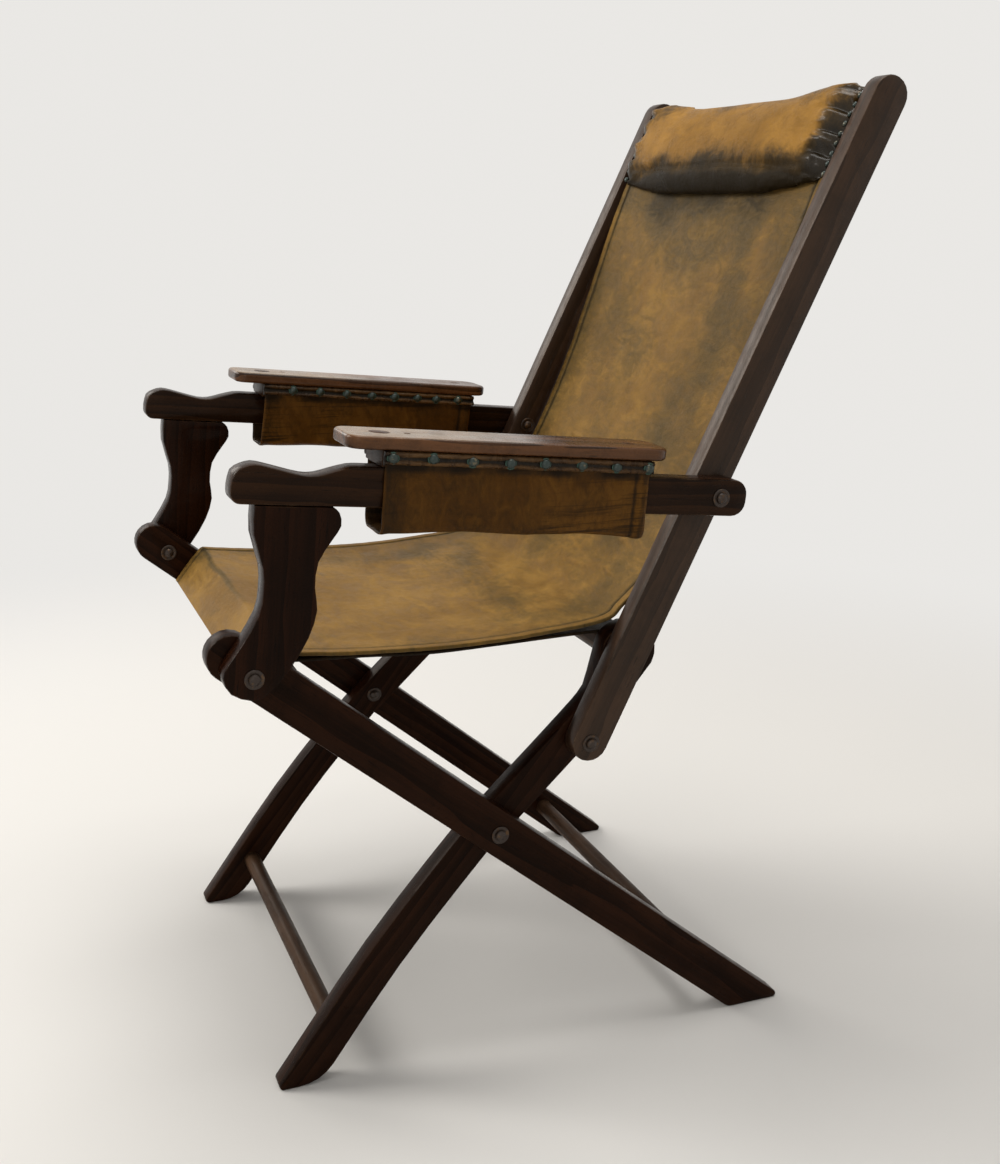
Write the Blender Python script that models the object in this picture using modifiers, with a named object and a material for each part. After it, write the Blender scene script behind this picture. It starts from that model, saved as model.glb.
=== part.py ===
"""Folding steamer chair with a leather sling, standing open.

Outer legs, inner legs, back and arms meet at four pivots on each side and fold flat together.
The side view is drawn with y running to the back and z up from the floor. Its zero lies under the
crossing of the legs, and the finished chair is moved so that it stands centred over the origin.
All lengths are in metres.
"""

import math

import bmesh
import bpy
from mathutils import Matrix, Vector

# Pivots in the side view
crossing_height = 0.2555
arm_foot_ahead = 0.2465
arm_foot_rise = 0.201
back_pivot_behind = 0.0975
back_pivot_rise = 0.0845
arm_joint_up_stile = 0.277
back_lean = math.radians(25.4)
arm_slope = math.radians(5.1)

# Layers across the chair
between_inner_legs = 0.391
leg_thick = 0.023
stile_thick = 0.022
arm_thick = 0.025
layer_gap = 0.001
fit_gap = 0.0003

# Outer legs
outer_leg_width = 0.044
outer_leg_nose = 0.0414
outer_tip_radius = 0.004
outer_heel_radius = 0.012

# Inner legs
inner_leg_width = 0.038
inner_foot_ahead = 0.205
inner_tip_radius = 0.004
inner_heel_radius = 0.044
inner_head_radius = 0.031
inner_head_behind = 0.0505
inner_head_rise = 0.084
inner_neck_shift = 0.006
shin_shares = ((0.48, 0.024), (0.9, 0.012))
neck_share = 0.45
neck_shift_share = 0.06

# Back
stile_width = 0.039
stile_length = 0.718
head_rail_tall = 0.04
head_rail_thick = 0.018
head_rail_down_from_top = 0.05

# Rails and stretchers
seat_rail_tall = 0.044
seat_rail_thick = 0.018
seat_rail_down_leg = 0.0385
rear_rail_radius = 0.0165
rear_rail_stub_radius = 0.011
stretcher_radius = 0.01
front_stretcher_down_shin_share = 0.8
rear_stretcher_down_leg = 0.325
tenon_shoulder = 0.005
joint_depth = 0.013

# Arm rails and posts
arm_rail_height = 0.036
arm_reach = 0.479
arm_tail = 0.029
arm_tail_radius = 0.0145
arm_nose_radius = 0.009
nose_wave_shares = (
    (0.00, -0.10), (0.07, 0.24), (0.30, 0.40), (0.55, 0.47), (0.85, 0.43), (1.30, 0.33),
    (1.75, 0.24), (2.10, 0.25), (2.50, 0.37), (2.90, 0.48), (3.20, 0.50),
)
post_front_shares = (
    (-0.055, 1.0), (-0.05, 0.83), (0.012, 0.64), (0.022, 0.5), (0.005, 0.37),
    (-0.08, 0.2), (-0.15, 0.085),
)
post_foot_shares = ((-0.177, 0.005), (-0.125, -0.09), (0.0, -0.132), (0.09, -0.09))
post_rear_shares = (
    (0.2, 0.045), (0.3, 0.235), (0.34, 0.4), (0.318, 0.53), (0.328, 0.68), (0.4, 0.81),
    (0.445, 0.89), (0.43, 0.965), (0.39, 1.0),
)
post_tenon_ahead_share = 0.16
post_tenon_length = 0.04
post_tenon_thick = 0.01

# Arm boxes: batten, board, leather sleeve and its two binding strips
batten_behind_front = 0.13
batten_length = 0.268
batten_height = 0.0155
batten_width = 0.051
board_length = 0.318
board_width = 0.063
board_thick = 0.012
board_overhang_rear = 0.017
board_overhang_outer = 0.006
board_front_corner = 0.014
board_rear_corner = 0.018
board_edge_round = 0.003
sleeve_leather = 0.002
sleeve_inset = 0.003
sleeve_drop = 0.0205
sleeve_taper = 0.009
sleeve_fold_radius = 0.006
binding_height = 0.012
binding_end_inset = 0.002

# Leather slings
sling_leather = 0.003
sling_side_gap = 0.003
sling_back_turn = 0.03
back_sag_shares = (
    (0.835, -0.28), (0.742, -0.14), (0.632, 0.09), (0.538, 0.256), (0.442, 0.346),
    (0.35, 0.29), (0.262, 0.01),
)
back_sling_end_share = 0.196
back_sling_end_ahead_share = 0.45
seat_bend_rise = 0.122
seat_bend_behind = 0.0305
seat_sag_shares = (
    (0.08, 0.017), (0.21, 0.0265), (0.34, 0.034), (0.53, 0.036), (0.8, 0.024), (0.95, 0.008),
)
lower_ply_drop_shares = (0.047, 0.113, 0.155, 0.063)
lower_ply_side_gap = 0.001
lower_ply_wrap = math.radians(185)

# Headrest cushion
cushion_height = 0.111
cushion_down_from_top = 0.019
cushion_bulge = 0.026
cushion_back_ahead = 0.0138
cushion_end_gap = 0.0005
cushion_station_shares = (
    (0.0, 1.0, 0.0), (0.5, 0.98, 0.02), (0.8, 0.8, 0.06), (0.95, 0.42, 0.11), (1.0, 0.16, 0.13),
)
cushion_section_shares = (
    (0.0, 0.0), (0.05, 0.36), (0.24, 0.84), (0.52, 1.0), (0.8, 0.78), (0.97, 0.38), (1.0, 0.0),
)

# Bolts and washers
bolt_radius = 0.0035
bolt_head_radius = 0.0055
bolt_head_height = 0.0035
washer_radius = 0.00925
washer_thick = 0.0015

# Rounding of edges and fineness of curves
edge_round = 0.002
rail_edge_round = 0.0015
overrun = 0.01
same_point = 0.000001
arc_step = math.radians(18)
turned_sides = 16
dome_steps = 3
bore_sides = 24

# Colours, roughness and metal of the finishes
dark_wood = ((0.045, 0.022, 0.013), 0.42, 0.0)
board_wood = ((0.13, 0.045, 0.018), 0.3, 0.0)
tan_leather = ((0.3, 0.19, 0.06), 0.45, 0.0)
brown_leather = ((0.16, 0.08, 0.02), 0.45, 0.0)
dark_leather = ((0.05, 0.03, 0.015), 0.5, 0.0)
bronzed_steel = ((0.07, 0.05, 0.04), 0.45, 0.9)

# Places worked out from the sizes
crossing = Vector((0, crossing_height))
arm_foot = crossing + Vector((-arm_foot_ahead, arm_foot_rise))
back_pivot = crossing + Vector((back_pivot_behind, back_pivot_rise))
up_stile = Vector((math.sin(back_lean), math.cos(back_lean)))
behind_stile = Vector((math.cos(back_lean), -math.sin(back_lean)))
arm_joint = back_pivot + up_stile * arm_joint_up_stile
arm_back = Vector((math.cos(arm_slope), -math.sin(arm_slope)))
arm_up = Vector((math.sin(arm_slope), math.cos(arm_slope)))
down_leg = (crossing - arm_foot).normalized()
above_leg = Vector((-down_leg.y, down_leg.x))
inner_foot = Vector((-inner_foot_ahead, 0))
inner_head = back_pivot + Vector((inner_head_behind, inner_head_rise))
seat_rail_place = arm_foot + down_leg * seat_rail_down_leg
head_rail_up_stile = stile_length - head_rail_down_from_top
head_rail_place = back_pivot + up_stile * head_rail_up_stile
front_stretcher_place = inner_foot.lerp(crossing, 1 - front_stretcher_down_shin_share)
rear_stretcher_place = crossing + down_leg * rear_stretcher_down_leg
sling_wrap_radius = rail_edge_round + fit_gap + sling_leather / 2

inner_leg_face = between_inner_legs / 2
inner_leg_outside = inner_leg_face + leg_thick
outer_leg_face = inner_leg_outside + layer_gap
outer_leg_outside = outer_leg_face + leg_thick
stile_outside = outer_leg_face + stile_thick
arm_face = outer_leg_outside + layer_gap
arm_outside = arm_face + arm_thick

front_reach = (arm_foot - down_leg * (outer_leg_nose - outer_leg_width / 2)).x - outer_leg_width / 2
rear_reach = (back_pivot + up_stile * (stile_length - stile_width / 2)).x + stile_width / 2
centre_shift = -(front_reach + rear_reach) / 2

sides = (("left", 1), ("right", -1))
across_chair = Matrix(((0, 0, 1), (1, 0, 0), (0, 1, 0))).to_4x4()
bodies = {}


def clear_scene():
    for thing in list(bpy.data.objects):
        bpy.data.objects.remove(thing)


def make_collections():
    parts = bpy.data.collections.new("steamer_chair")
    cutters = bpy.data.collections.new("cutters")
    for group in (parts, cutters):
        bpy.context.scene.collection.children.link(group)
    return parts, cutters


def world(point, x=0.0):
    """A point of the side view, at x across the chair, in the finished chair's frame."""
    return Vector((x, point.x + centre_shift, point.y))


def add_body(name, pivot):
    """An empty on a joint's axis, which carries the pieces that turn about it."""
    empty = bpy.data.objects.new(name, None)
    empty.location = world(pivot)
    parts_collection.objects.link(empty)
    bodies[name] = empty


def paint(thing, finish):
    colour, roughness, metallic = finish
    material = bpy.data.materials.new(thing.name)
    material.use_nodes = True
    shader = material.node_tree.nodes["Principled BSDF"]
    shader.inputs["Base Color"].default_value = (*colour, 1)
    shader.inputs["Roughness"].default_value = roughness
    shader.inputs["Metallic"].default_value = metallic
    thing.data.materials.clear()
    thing.data.materials.append(material)


def place(thing, matrix, body, finish):
    """Put a finished piece into its body, at its place in the chair."""
    parts_collection.objects.link(thing)
    thing.parent = bodies[body]
    bpy.context.view_layer.update()
    thing.matrix_world = matrix
    paint(thing, finish)
    return thing


def rounded(corners, closed=True):
    """Straight runs between corners, each given with the radius that rounds it off."""
    points = []
    last = len(corners) - 1
    for index, (corner, radius) in enumerate(corners):
        if radius == 0 or (not closed and index in (0, last)):
            points.append(corner.copy())
            continue
        to_before = (corners[index - 1][0] - corner).normalized()
        to_after = (corners[(index + 1) % len(corners)][0] - corner).normalized()
        half = to_before.angle(to_after) / 2
        centre = corner + (to_before + to_after).normalized() * (radius / math.sin(half))
        start = corner + to_before * (radius / math.tan(half)) - centre
        turn = math.pi - 2 * half
        if to_before.x * to_after.y - to_before.y * to_after.x > 0:
            turn = -turn
        steps = max(1, math.ceil(abs(turn) / arc_step))
        for step in range(steps + 1):
            angle = turn * step / steps
            spun = Vector((
                start.x * math.cos(angle) - start.y * math.sin(angle),
                start.x * math.sin(angle) + start.y * math.cos(angle),
            ))
            points.append(centre + spun)
    return without_repeats(points)


def without_repeats(points):
    kept = []
    for point in points:
        if not kept or (point - kept[-1]).length > same_point:
            kept.append(point)
    if (kept[0] - kept[-1]).length <= same_point:
        kept.pop()
    return kept


def smooth(points, per_span=3):
    """Points along a smooth curve that runs through the given points."""
    ends = [points[0] * 2 - points[1], *points, points[-1] * 2 - points[-2]]
    curve = []
    for before, start, end, after in zip(ends, ends[1:], ends[2:], ends[3:]):
        for step in range(per_span):
            t = step / per_span
            curve.append((
                start * 2 + (end - before) * t
                + (before * 2 - start * 5 + end * 4 - after) * t ** 2
                + (start * 3 - before - end * 3 + after) * t ** 3
            ) / 2)
    curve.append(points[-1])
    return curve


def directions(path):
    """The direction of travel at each point of a path."""
    ahead = [*path[1:], path[-1]]
    behind = [path[0], *path[:-1]]
    return [(after - before).normalized() for before, after in zip(behind, ahead)]


def left_of(direction):
    return Vector((-direction.y, direction.x))


def plank(name, outline, thick, matrix, body, finish, round_off=edge_round):
    """A flat outline sawn from board, with its edges rounded off."""
    curve = bpy.data.curves.new(name, "CURVE")
    curve.dimensions = "2D"
    curve.fill_mode = "BOTH"
    curve.extrude = thick / 2 - round_off
    curve.bevel_depth = round_off
    curve.bevel_resolution = 1
    curve.offset = -round_off
    spline = curve.splines.new("POLY")
    spline.points.add(len(outline) - 1)
    for vertex, point in zip(spline.points, outline):
        vertex.co = (point.x, point.y, 0, 1)
    spline.use_cyclic_u = True
    drawn = bpy.data.objects.new(name, curve)
    parts_collection.objects.link(drawn)
    bpy.context.view_layer.update()
    evaluated = drawn.evaluated_get(bpy.context.evaluated_depsgraph_get())
    mesh = bpy.data.meshes.new_from_object(evaluated)
    bpy.data.objects.remove(drawn)
    welded = bmesh.new()
    welded.from_mesh(mesh)
    bmesh.ops.remove_doubles(welded, verts=welded.verts, dist=same_point)
    bmesh.ops.recalc_face_normals(welded, faces=welded.faces)
    welded.to_mesh(mesh)
    welded.free()
    return place(bpy.data.objects.new(name, mesh), matrix, body, finish)


def side_plank(name, outline, pivot, side, face, thick, body, finish, round_off=edge_round):
    """A plank that stands in the side view, turning about its pivot, its inner face at face."""
    local = [point - pivot for point in outline]
    middle = side * (face + thick / 2)
    matrix = Matrix.Translation(world(pivot, middle)) @ across_chair
    return plank(name, local, thick, matrix, body, finish, round_off)


def box_mesh(name, size):
    """A box that already has its size, so that bevels keep their width."""
    mesh = bpy.data.meshes.new(name)
    shape = bmesh.new()
    bmesh.ops.create_cube(shape, size=1)
    bmesh.ops.scale(shape, vec=Vector(size), verts=shape.verts)
    shape.to_mesh(mesh)
    shape.free()
    return mesh


def bevel(thing, width, segments=2):
    rounding = thing.modifiers.new("Rounded edges", "BEVEL")
    rounding.width = width
    rounding.segments = segments
    rounding.limit_method = "ANGLE"


def axes_matrix(point, x_axis, y_axis):
    """A frame at a side-view point, with its y and z axes along two side-view directions."""
    matrix = Matrix((
        (1, 0, 0),
        (0, x_axis.x, y_axis.x),
        (0, x_axis.y, y_axis.y),
    )).to_4x4()
    return Matrix.Translation(point) @ matrix


def cutter(name, mesh, matrix):
    thing = bpy.data.objects.new(name, mesh)
    thing.hide_render = True
    thing.display_type = "WIRE"
    thing.matrix_world = matrix
    cutters_collection.objects.link(thing)
    return thing


def round_cutter(name, point, radius, length):
    """A bore across the chair, centred on the middle plane."""
    mesh = bpy.data.meshes.new(name)
    shape = bmesh.new()
    bmesh.ops.create_cone(
        shape, cap_ends=True, segments=bore_sides, radius1=radius, radius2=radius, depth=length
    )
    shape.to_mesh(mesh)
    shape.free()
    turned = Matrix.Rotation(math.pi / 2, 4, "Y")
    return cutter(name, mesh, Matrix.Translation(world(point)) @ turned)


def combine(thing, tool, operation="DIFFERENCE"):
    change = thing.modifiers.new(operation.title(), "BOOLEAN")
    change.operation = operation
    change.solver = "EXACT"
    change.object = tool


def turned(name, profile, point, x, facing, body, finish):
    """A turned piece: the profile (radius, height) spun about an axis that runs across the chair."""
    mesh = bpy.data.meshes.new(name)
    ends = [(0, profile[0][1]), *profile, (0, profile[-1][1])]
    mesh.from_pydata([(radius, 0.0, height) for radius, height in ends],
                     [(i, i + 1) for i in range(len(ends) - 1)], [])
    thing = bpy.data.objects.new(name, mesh)
    spin = thing.modifiers.new("Turned", "SCREW")
    spin.steps = turned_sides
    spin.render_steps = turned_sides
    spin.use_merge_vertices = True
    spin.merge_threshold = same_point * 10
    spin.use_smooth_shade = True
    facing_x = Matrix.Rotation(facing * math.pi / 2, 4, "Y")
    return place(thing, Matrix.Translation(world(point, x)) @ facing_x, body, finish)


def sheet(name, path, pivot, half_width, thick, body, finish):
    """Leather that follows a side-view path at one width: an open surface given its thickness."""
    mesh = bpy.data.meshes.new(name)
    shape = bmesh.new()
    start = [shape.verts.new((-half_width, p.x - pivot.x, p.y - pivot.y)) for p in path]
    edges = [shape.edges.new(pair) for pair in zip(start, start[1:])]
    swept = bmesh.ops.extrude_edge_only(shape, edges=edges)["geom"]
    moved = [part for part in swept if isinstance(part, bmesh.types.BMVert)]
    bmesh.ops.translate(shape, vec=Vector((2 * half_width, 0, 0)), verts=moved)
    bmesh.ops.recalc_face_normals(shape, faces=shape.faces)
    shape.to_mesh(mesh)
    shape.free()
    thing = bpy.data.objects.new(name, mesh)
    thicken(thing, thick)
    return place(thing, Matrix.Translation(world(pivot)), body, finish)


def thicken(thing, thick):
    walls = thing.modifiers.new("Thickness", "SOLIDIFY")
    walls.thickness = thick
    walls.offset = 0
    walls.use_even_offset = True


def outer_leg_outline():
    """A straight bar with a round front end and its foot cut flat on the floor."""
    half = above_leg * (outer_leg_width / 2)
    front = arm_foot - down_leg * outer_leg_nose
    down_to_floor = down_leg / -down_leg.y
    top_foot = front + half + down_to_floor * (front + half).y
    low_foot = front - half + down_to_floor * (front - half).y
    return rounded((
        (front - half, outer_leg_width / 2),
        (low_foot, outer_heel_radius),
        (top_foot, outer_tip_radius),
        (front + half, outer_leg_width / 2),
    ))


def inner_leg_middle():
    """The stations of the inner leg's middle line, from the floor to the round head."""
    shin = crossing - inner_foot
    before_pivot = left_of((back_pivot - crossing).normalized())
    middle = [inner_foot]
    for along, ahead in shin_shares:
        middle.append(inner_foot + shin * along + left_of(shin) * ahead)
    middle.append(crossing)
    passing = back_pivot + before_pivot * inner_neck_shift
    middle.append(passing)
    neck = inner_head - passing
    middle.append(passing + neck * neck_share - left_of(neck) * neck_shift_share)
    middle.append(inner_head)
    return middle


def inner_leg_outline():
    """A bar that bends at the crossing and at the neck, and widens into a round head."""
    per_span = 3
    path = smooth(inner_leg_middle(), per_span)
    widening_from = len(path) - 1 - per_span
    front, rear = [], []
    for index, (point, travel) in enumerate(zip(path, directions(path))):
        growth = max(0, index - widening_from) / per_span
        half = inner_leg_width / 2 + (inner_head_radius - inner_leg_width / 2) * growth
        front.append(point + left_of(travel) * half)
        rear.append(point - left_of(travel) * half)
    to_floor = (path[1] - path[0]).normalized()
    front[0] -= to_floor * (front[0].y / to_floor.y)
    rear[0] -= to_floor * (rear[0].y / to_floor.y)
    head_from = front[-1] - path[-1]
    head = []
    steps = math.ceil(math.pi / arc_step)
    for step in range(1, steps):
        angle = -math.pi * step / steps
        head.append(path[-1] + Vector((
            head_from.x * math.cos(angle) - head_from.y * math.sin(angle),
            head_from.x * math.sin(angle) + head_from.y * math.cos(angle),
        )))
    corners = [(front[0], inner_tip_radius)]
    corners += [(point, 0) for point in [*front[1:], *head, *reversed(rear[1:])]]
    corners.append((rear[0], inner_heel_radius))
    return rounded(corners)


def stile_outline():
    """A straight upright with both ends rounded, its lower end about the back pivot."""
    half = behind_stile * (stile_width / 2)
    low = back_pivot - up_stile * (stile_width / 2)
    high = back_pivot + up_stile * stile_length
    radius = stile_width / 2
    return rounded((
        (low - half, radius), (low + half, radius), (high + half, radius), (high - half, radius),
    ))


def arm_point(back, up):
    """A point of the side view, measured from the arm joint along and square to the arm."""
    return arm_joint + arm_back * back + arm_up * up


def arm_rail_outline():
    """A straight rail with a round tail and a hand hold that waves up and down at the nose."""
    half = arm_rail_height / 2
    nose = [
        arm_point(-arm_reach + along * arm_rail_height, up * arm_rail_height)
        for along, up in nose_wave_shares
    ]
    corners = [(point, 0) for point in smooth(nose, 2)]
    corners += [
        (arm_point(arm_tail, half), arm_tail_radius),
        (arm_point(arm_tail, -half), arm_tail_radius),
        (arm_point(-arm_reach, -half), arm_nose_radius),
    ]
    return rounded(corners)


def post_rise():
    """From the arm's foot pivot up to the underside of the arm rail, square to the arm."""
    return -arm_rail_height / 2 - (arm_foot - arm_joint).dot(arm_up)


def post_outline():
    """The shaped post: a waisted, curved bracket that ends round about its pivot."""
    rise = post_rise()
    top = (rise - fit_gap) / rise
    shares = [*post_front_shares, *post_foot_shares, *post_rear_shares]
    points = [
        arm_foot + (arm_back * along + arm_up * min(up, top)) * rise for along, up in shares
    ]
    return smooth(points, 2)


def flat_rail(name, place_at, tall_along, thick_along, tall, thick, face, body):
    """A flat rail between two faces, with a stub tenon at each end."""
    matrix = axes_matrix(world(place_at), thick_along, tall_along)
    rail = bpy.data.objects.new(name, box_mesh(name, (2 * (face - fit_gap), thick, tall)))
    bevel(rail, rail_edge_round)
    length = 2 * (face + joint_depth - fit_gap)
    core = (length, thick - 2 * tenon_shoulder, tall - 2 * tenon_shoulder)
    tenons = cutter(name + "_tenons", box_mesh(name + "_tenons", core), matrix)
    combine(rail, tenons, "UNION")
    grown = (length + 2 * fit_gap, core[1] + 2 * fit_gap, core[2] + 2 * fit_gap)
    mortises = cutter(name + "_mortises", box_mesh(name + "_mortises", grown), matrix)
    place(rail, matrix, body, dark_wood)
    return rail, mortises


def round_rail(name, place_at, radius, stub_radius, face, body):
    """A round rail with a stub at each end that sits in a blind bore."""
    end = face + joint_depth - fit_gap
    shoulder = face - fit_gap
    if stub_radius < radius:
        profile = [(stub_radius, end), (stub_radius, shoulder), (radius, shoulder)]
        profile += [(radius, -shoulder), (stub_radius, -shoulder), (stub_radius, -end)]
    else:
        profile = [(radius, end), (radius, -end)]
    turned(name, profile, place_at, 0, 1, body, dark_wood)
    bore_length = 2 * (end + fit_gap)
    return round_cutter(name + "_bores", place_at, stub_radius + fit_gap, bore_length)


def washer(name, point, side, seat, outward, body):
    """A washer on the face at seat; outward is 1 where it faces away from the middle."""
    mesh = bpy.data.meshes.new(name)
    hole = bolt_radius + fit_gap
    corner = washer_thick / 3
    low, high = fit_gap, washer_thick
    ring = [(hole, high), (washer_radius - corner, high), (washer_radius, high - corner)]
    ring += [(washer_radius, low), (hole, low)]
    edges = [(i, (i + 1) % len(ring)) for i in range(len(ring))]
    mesh.from_pydata([(radius, 0.0, height) for radius, height in ring], edges, [])
    thing = bpy.data.objects.new(name, mesh)
    spin = thing.modifiers.new("Turned", "SCREW")
    spin.steps = turned_sides
    spin.render_steps = turned_sides
    spin.use_merge_vertices = True
    spin.merge_threshold = same_point * 10
    facing = Matrix.Rotation(side * outward * math.pi / 2, 4, "Y")
    place(thing, Matrix.Translation(world(point, side * seat)) @ facing, body, bronzed_steel)


def head_profile(seat):
    """A domed head that stands on a washer, from beside its top down to its seat."""
    base = seat + washer_thick + fit_gap
    dome = []
    for step in range(1, dome_steps + 1):
        angle = math.pi / 2 * step / dome_steps
        dome.append((bolt_head_radius * math.sin(angle), base + bolt_head_height * math.cos(angle)))
    return dome


def bolt(name, point, side, inner, outer, body, heads):
    """A riveted bolt through the faces inner and outer, with a domed head where it shows."""
    middle = (inner + outer) / 2
    reach = (outer - inner) / 2
    profile = []
    if "outer" in heads:
        profile += [*head_profile(reach), (bolt_radius, reach + washer_thick + fit_gap)]
    else:
        profile.append((bolt_radius, reach - fit_gap))
    if "inner" in heads:
        profile.append((bolt_radius, -reach - washer_thick - fit_gap))
        profile += [(radius, -height) for radius, height in reversed(head_profile(reach))]
    else:
        profile.append((bolt_radius, -reach + fit_gap))
    turned(name, profile, point, side * middle, side, body, bronzed_steel)


def build_frames(bores):
    """The two crossed leg frames, each a pair of legs with a seat rail and a stretcher."""
    seat_rail, seat_mortises = flat_rail(
        "front_seat_rail", seat_rail_place, above_leg, down_leg, seat_rail_tall, seat_rail_thick,
        outer_leg_face, "outer_frame",
    )
    rear_bores = round_rail(
        "rear_stretcher", rear_stretcher_place, stretcher_radius, stretcher_radius,
        outer_leg_face, "outer_frame",
    )
    head_bores = round_rail(
        "rear_seat_rail", inner_head, rear_rail_radius, rear_rail_stub_radius,
        inner_leg_face, "inner_frame",
    )
    front_bores = round_rail(
        "front_stretcher", front_stretcher_place, stretcher_radius, stretcher_radius,
        inner_leg_face, "inner_frame",
    )
    for word, side in sides:
        outer = side_plank(
            "outer_leg_" + word, outer_leg_outline(), crossing, side, outer_leg_face, leg_thick,
            "outer_frame", dark_wood,
        )
        for tool in (bores["arm_foot"], bores["crossing"], seat_mortises, rear_bores):
            combine(outer, tool)
        inner = side_plank(
            "inner_leg_" + word, inner_leg_outline(), crossing, side, inner_leg_face, leg_thick,
            "inner_frame", dark_wood,
        )
        for tool in (bores["crossing"], bores["back_pivot"], head_bores, front_bores):
            combine(inner, tool)


def build_back(bores):
    """The back: two stiles joined by a head rail."""
    head_rail, mortises = flat_rail(
        "head_rail", head_rail_place, up_stile, behind_stile, head_rail_tall, head_rail_thick,
        outer_leg_face, "back",
    )
    for word, side in sides:
        stile = side_plank(
            "back_stile_" + word, stile_outline(), back_pivot, side, outer_leg_face, stile_thick,
            "back", dark_wood,
        )
        for tool in (bores["back_pivot"], bores["arm_joint"], mortises):
            combine(stile, tool)


def build_arm(word, side, bores):
    """One arm: a rail on a shaped post, tenoned together."""
    body = word + "_arm"
    rail = side_plank(
        "arm_rail_" + word, arm_rail_outline(), arm_foot, side, arm_face, arm_thick, body, dark_wood
    )
    post = side_plank(
        "arm_post_" + word, post_outline(), arm_foot, side, arm_face, arm_thick, body, dark_wood
    )
    rise = post_rise()
    tenon_foot = arm_foot + arm_back * (post_tenon_ahead_share * rise) + arm_up * rise
    middle = side * (arm_face + arm_thick / 2)
    tenon_tall = 2 * joint_depth
    matrix = axes_matrix(world(tenon_foot, middle), arm_back, arm_up)
    name = "arm_tenon_" + word
    tenon_size = (post_tenon_thick, post_tenon_length, tenon_tall - 2 * fit_gap)
    tenon = cutter(name, box_mesh(name, tenon_size), matrix)
    combine(post, tenon, "UNION")
    grown = (post_tenon_thick + 2 * fit_gap, post_tenon_length + 2 * fit_gap, tenon_tall)
    mortise = cutter(name + "_mortise", box_mesh(name + "_mortise", grown), matrix)
    combine(rail, mortise)
    combine(rail, bores["arm_joint"])
    combine(post, bores["arm_foot"])


def build_arm_box(word, side):
    """The box on an arm rail: batten, board, leather sleeve and its two binding strips."""
    body = word + "_arm"
    front = (-batten_behind_front - arm_joint.x) / arm_back.x
    rear = front + batten_length
    under = arm_rail_height / 2 + fit_gap
    batten_middle = arm_outside - batten_width / 2
    batten_name = "arm_batten_" + word
    batten_place = arm_point((front + rear) / 2, under + batten_height / 2)
    matrix = axes_matrix(world(batten_place, side * batten_middle), arm_back, arm_up)
    batten = bpy.data.objects.new(
        batten_name, box_mesh(batten_name, (batten_width, batten_length, batten_height))
    )
    bevel(batten, rail_edge_round)
    place(batten, matrix, body, dark_wood)

    board_rear = rear + board_overhang_rear
    board_front = board_rear - board_length
    outer = arm_outside + board_overhang_outer
    inner = outer - board_width
    board_middle = (outer + inner) / 2
    half_width, half_length = board_width / 2, board_length / 2
    corners = rounded((
        (Vector((-half_width, -half_length)), board_front_corner),
        (Vector((half_width, -half_length)), board_front_corner),
        (Vector((half_width, half_length)), board_rear_corner),
        (Vector((-half_width, half_length)), board_rear_corner),
    ))
    board_place = arm_point(
        (board_front + board_rear) / 2, under + batten_height + fit_gap + board_thick / 2
    )
    matrix = axes_matrix(world(board_place, side * board_middle), arm_back, arm_up)
    plank("arm_board_" + word, corners, board_thick, matrix, body, board_wood, board_edge_round)

    half_leather = sleeve_leather / 2
    out_x = arm_outside + fit_gap + half_leather
    in_x = arm_outside - batten_width - fit_gap - half_leather
    top = under + batten_height - fit_gap
    bottom = -arm_rail_height / 2 - sleeve_drop
    fold = rounded((
        (Vector((out_x, top)), 0),
        (Vector((out_x, bottom)), sleeve_fold_radius),
        (Vector((in_x + sleeve_taper, bottom)), sleeve_fold_radius),
        (Vector((in_x, under)), sleeve_fold_radius),
        (Vector((in_x, top)), 0),
    ), closed=False)
    cross_sheet("arm_sleeve_" + word, fold, side, front + sleeve_inset, rear - sleeve_inset, body)
    strip_start = front + binding_end_inset
    strip_end = rear - binding_end_inset
    strip_low = top - binding_height
    for place_word, x in (("outer", out_x), ("inner", in_x)):
        beyond = (sleeve_leather + fit_gap) * (1 if place_word == "outer" else -1)
        name = "arm_binding_%s_%s" % (place_word, word)
        size = (sleeve_leather, strip_end - strip_start, top - strip_low)
        strip = bpy.data.objects.new(name, box_mesh(name, size))
        bevel(strip, sleeve_leather / 4, 1)
        middle = arm_point((strip_start + strip_end) / 2, (top + strip_low) / 2)
        matrix = axes_matrix(world(middle, side * (x + beyond)), arm_back, arm_up)
        place(strip, matrix, body, dark_leather)


def cross_sheet(name, path, side, start, end, body):
    """Leather that follows a path seen from the front, drawn out along the arm."""
    mesh = bpy.data.meshes.new(name)
    shape = bmesh.new()
    first = [shape.verts.new((side * p.x, start, p.y)) for p in path]
    edges = [shape.edges.new(pair) for pair in zip(first, first[1:])]
    swept = bmesh.ops.extrude_edge_only(shape, edges=edges)["geom"]
    moved = [part for part in swept if isinstance(part, bmesh.types.BMVert)]
    bmesh.ops.translate(shape, vec=Vector((0, end - start, 0)), verts=moved)
    bmesh.ops.recalc_face_normals(shape, faces=shape.faces)
    shape.to_mesh(mesh)
    shape.free()
    thing = bpy.data.objects.new(name, mesh)
    thicken(thing, sleeve_leather)
    return place(thing, axes_matrix(world(arm_joint), arm_back, arm_up), body, brown_leather)


def stile_point(up, behind):
    """A point of the side view, measured from the back pivot along and square to the stile."""
    return back_pivot + up_stile * up + behind_stile * behind


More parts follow.
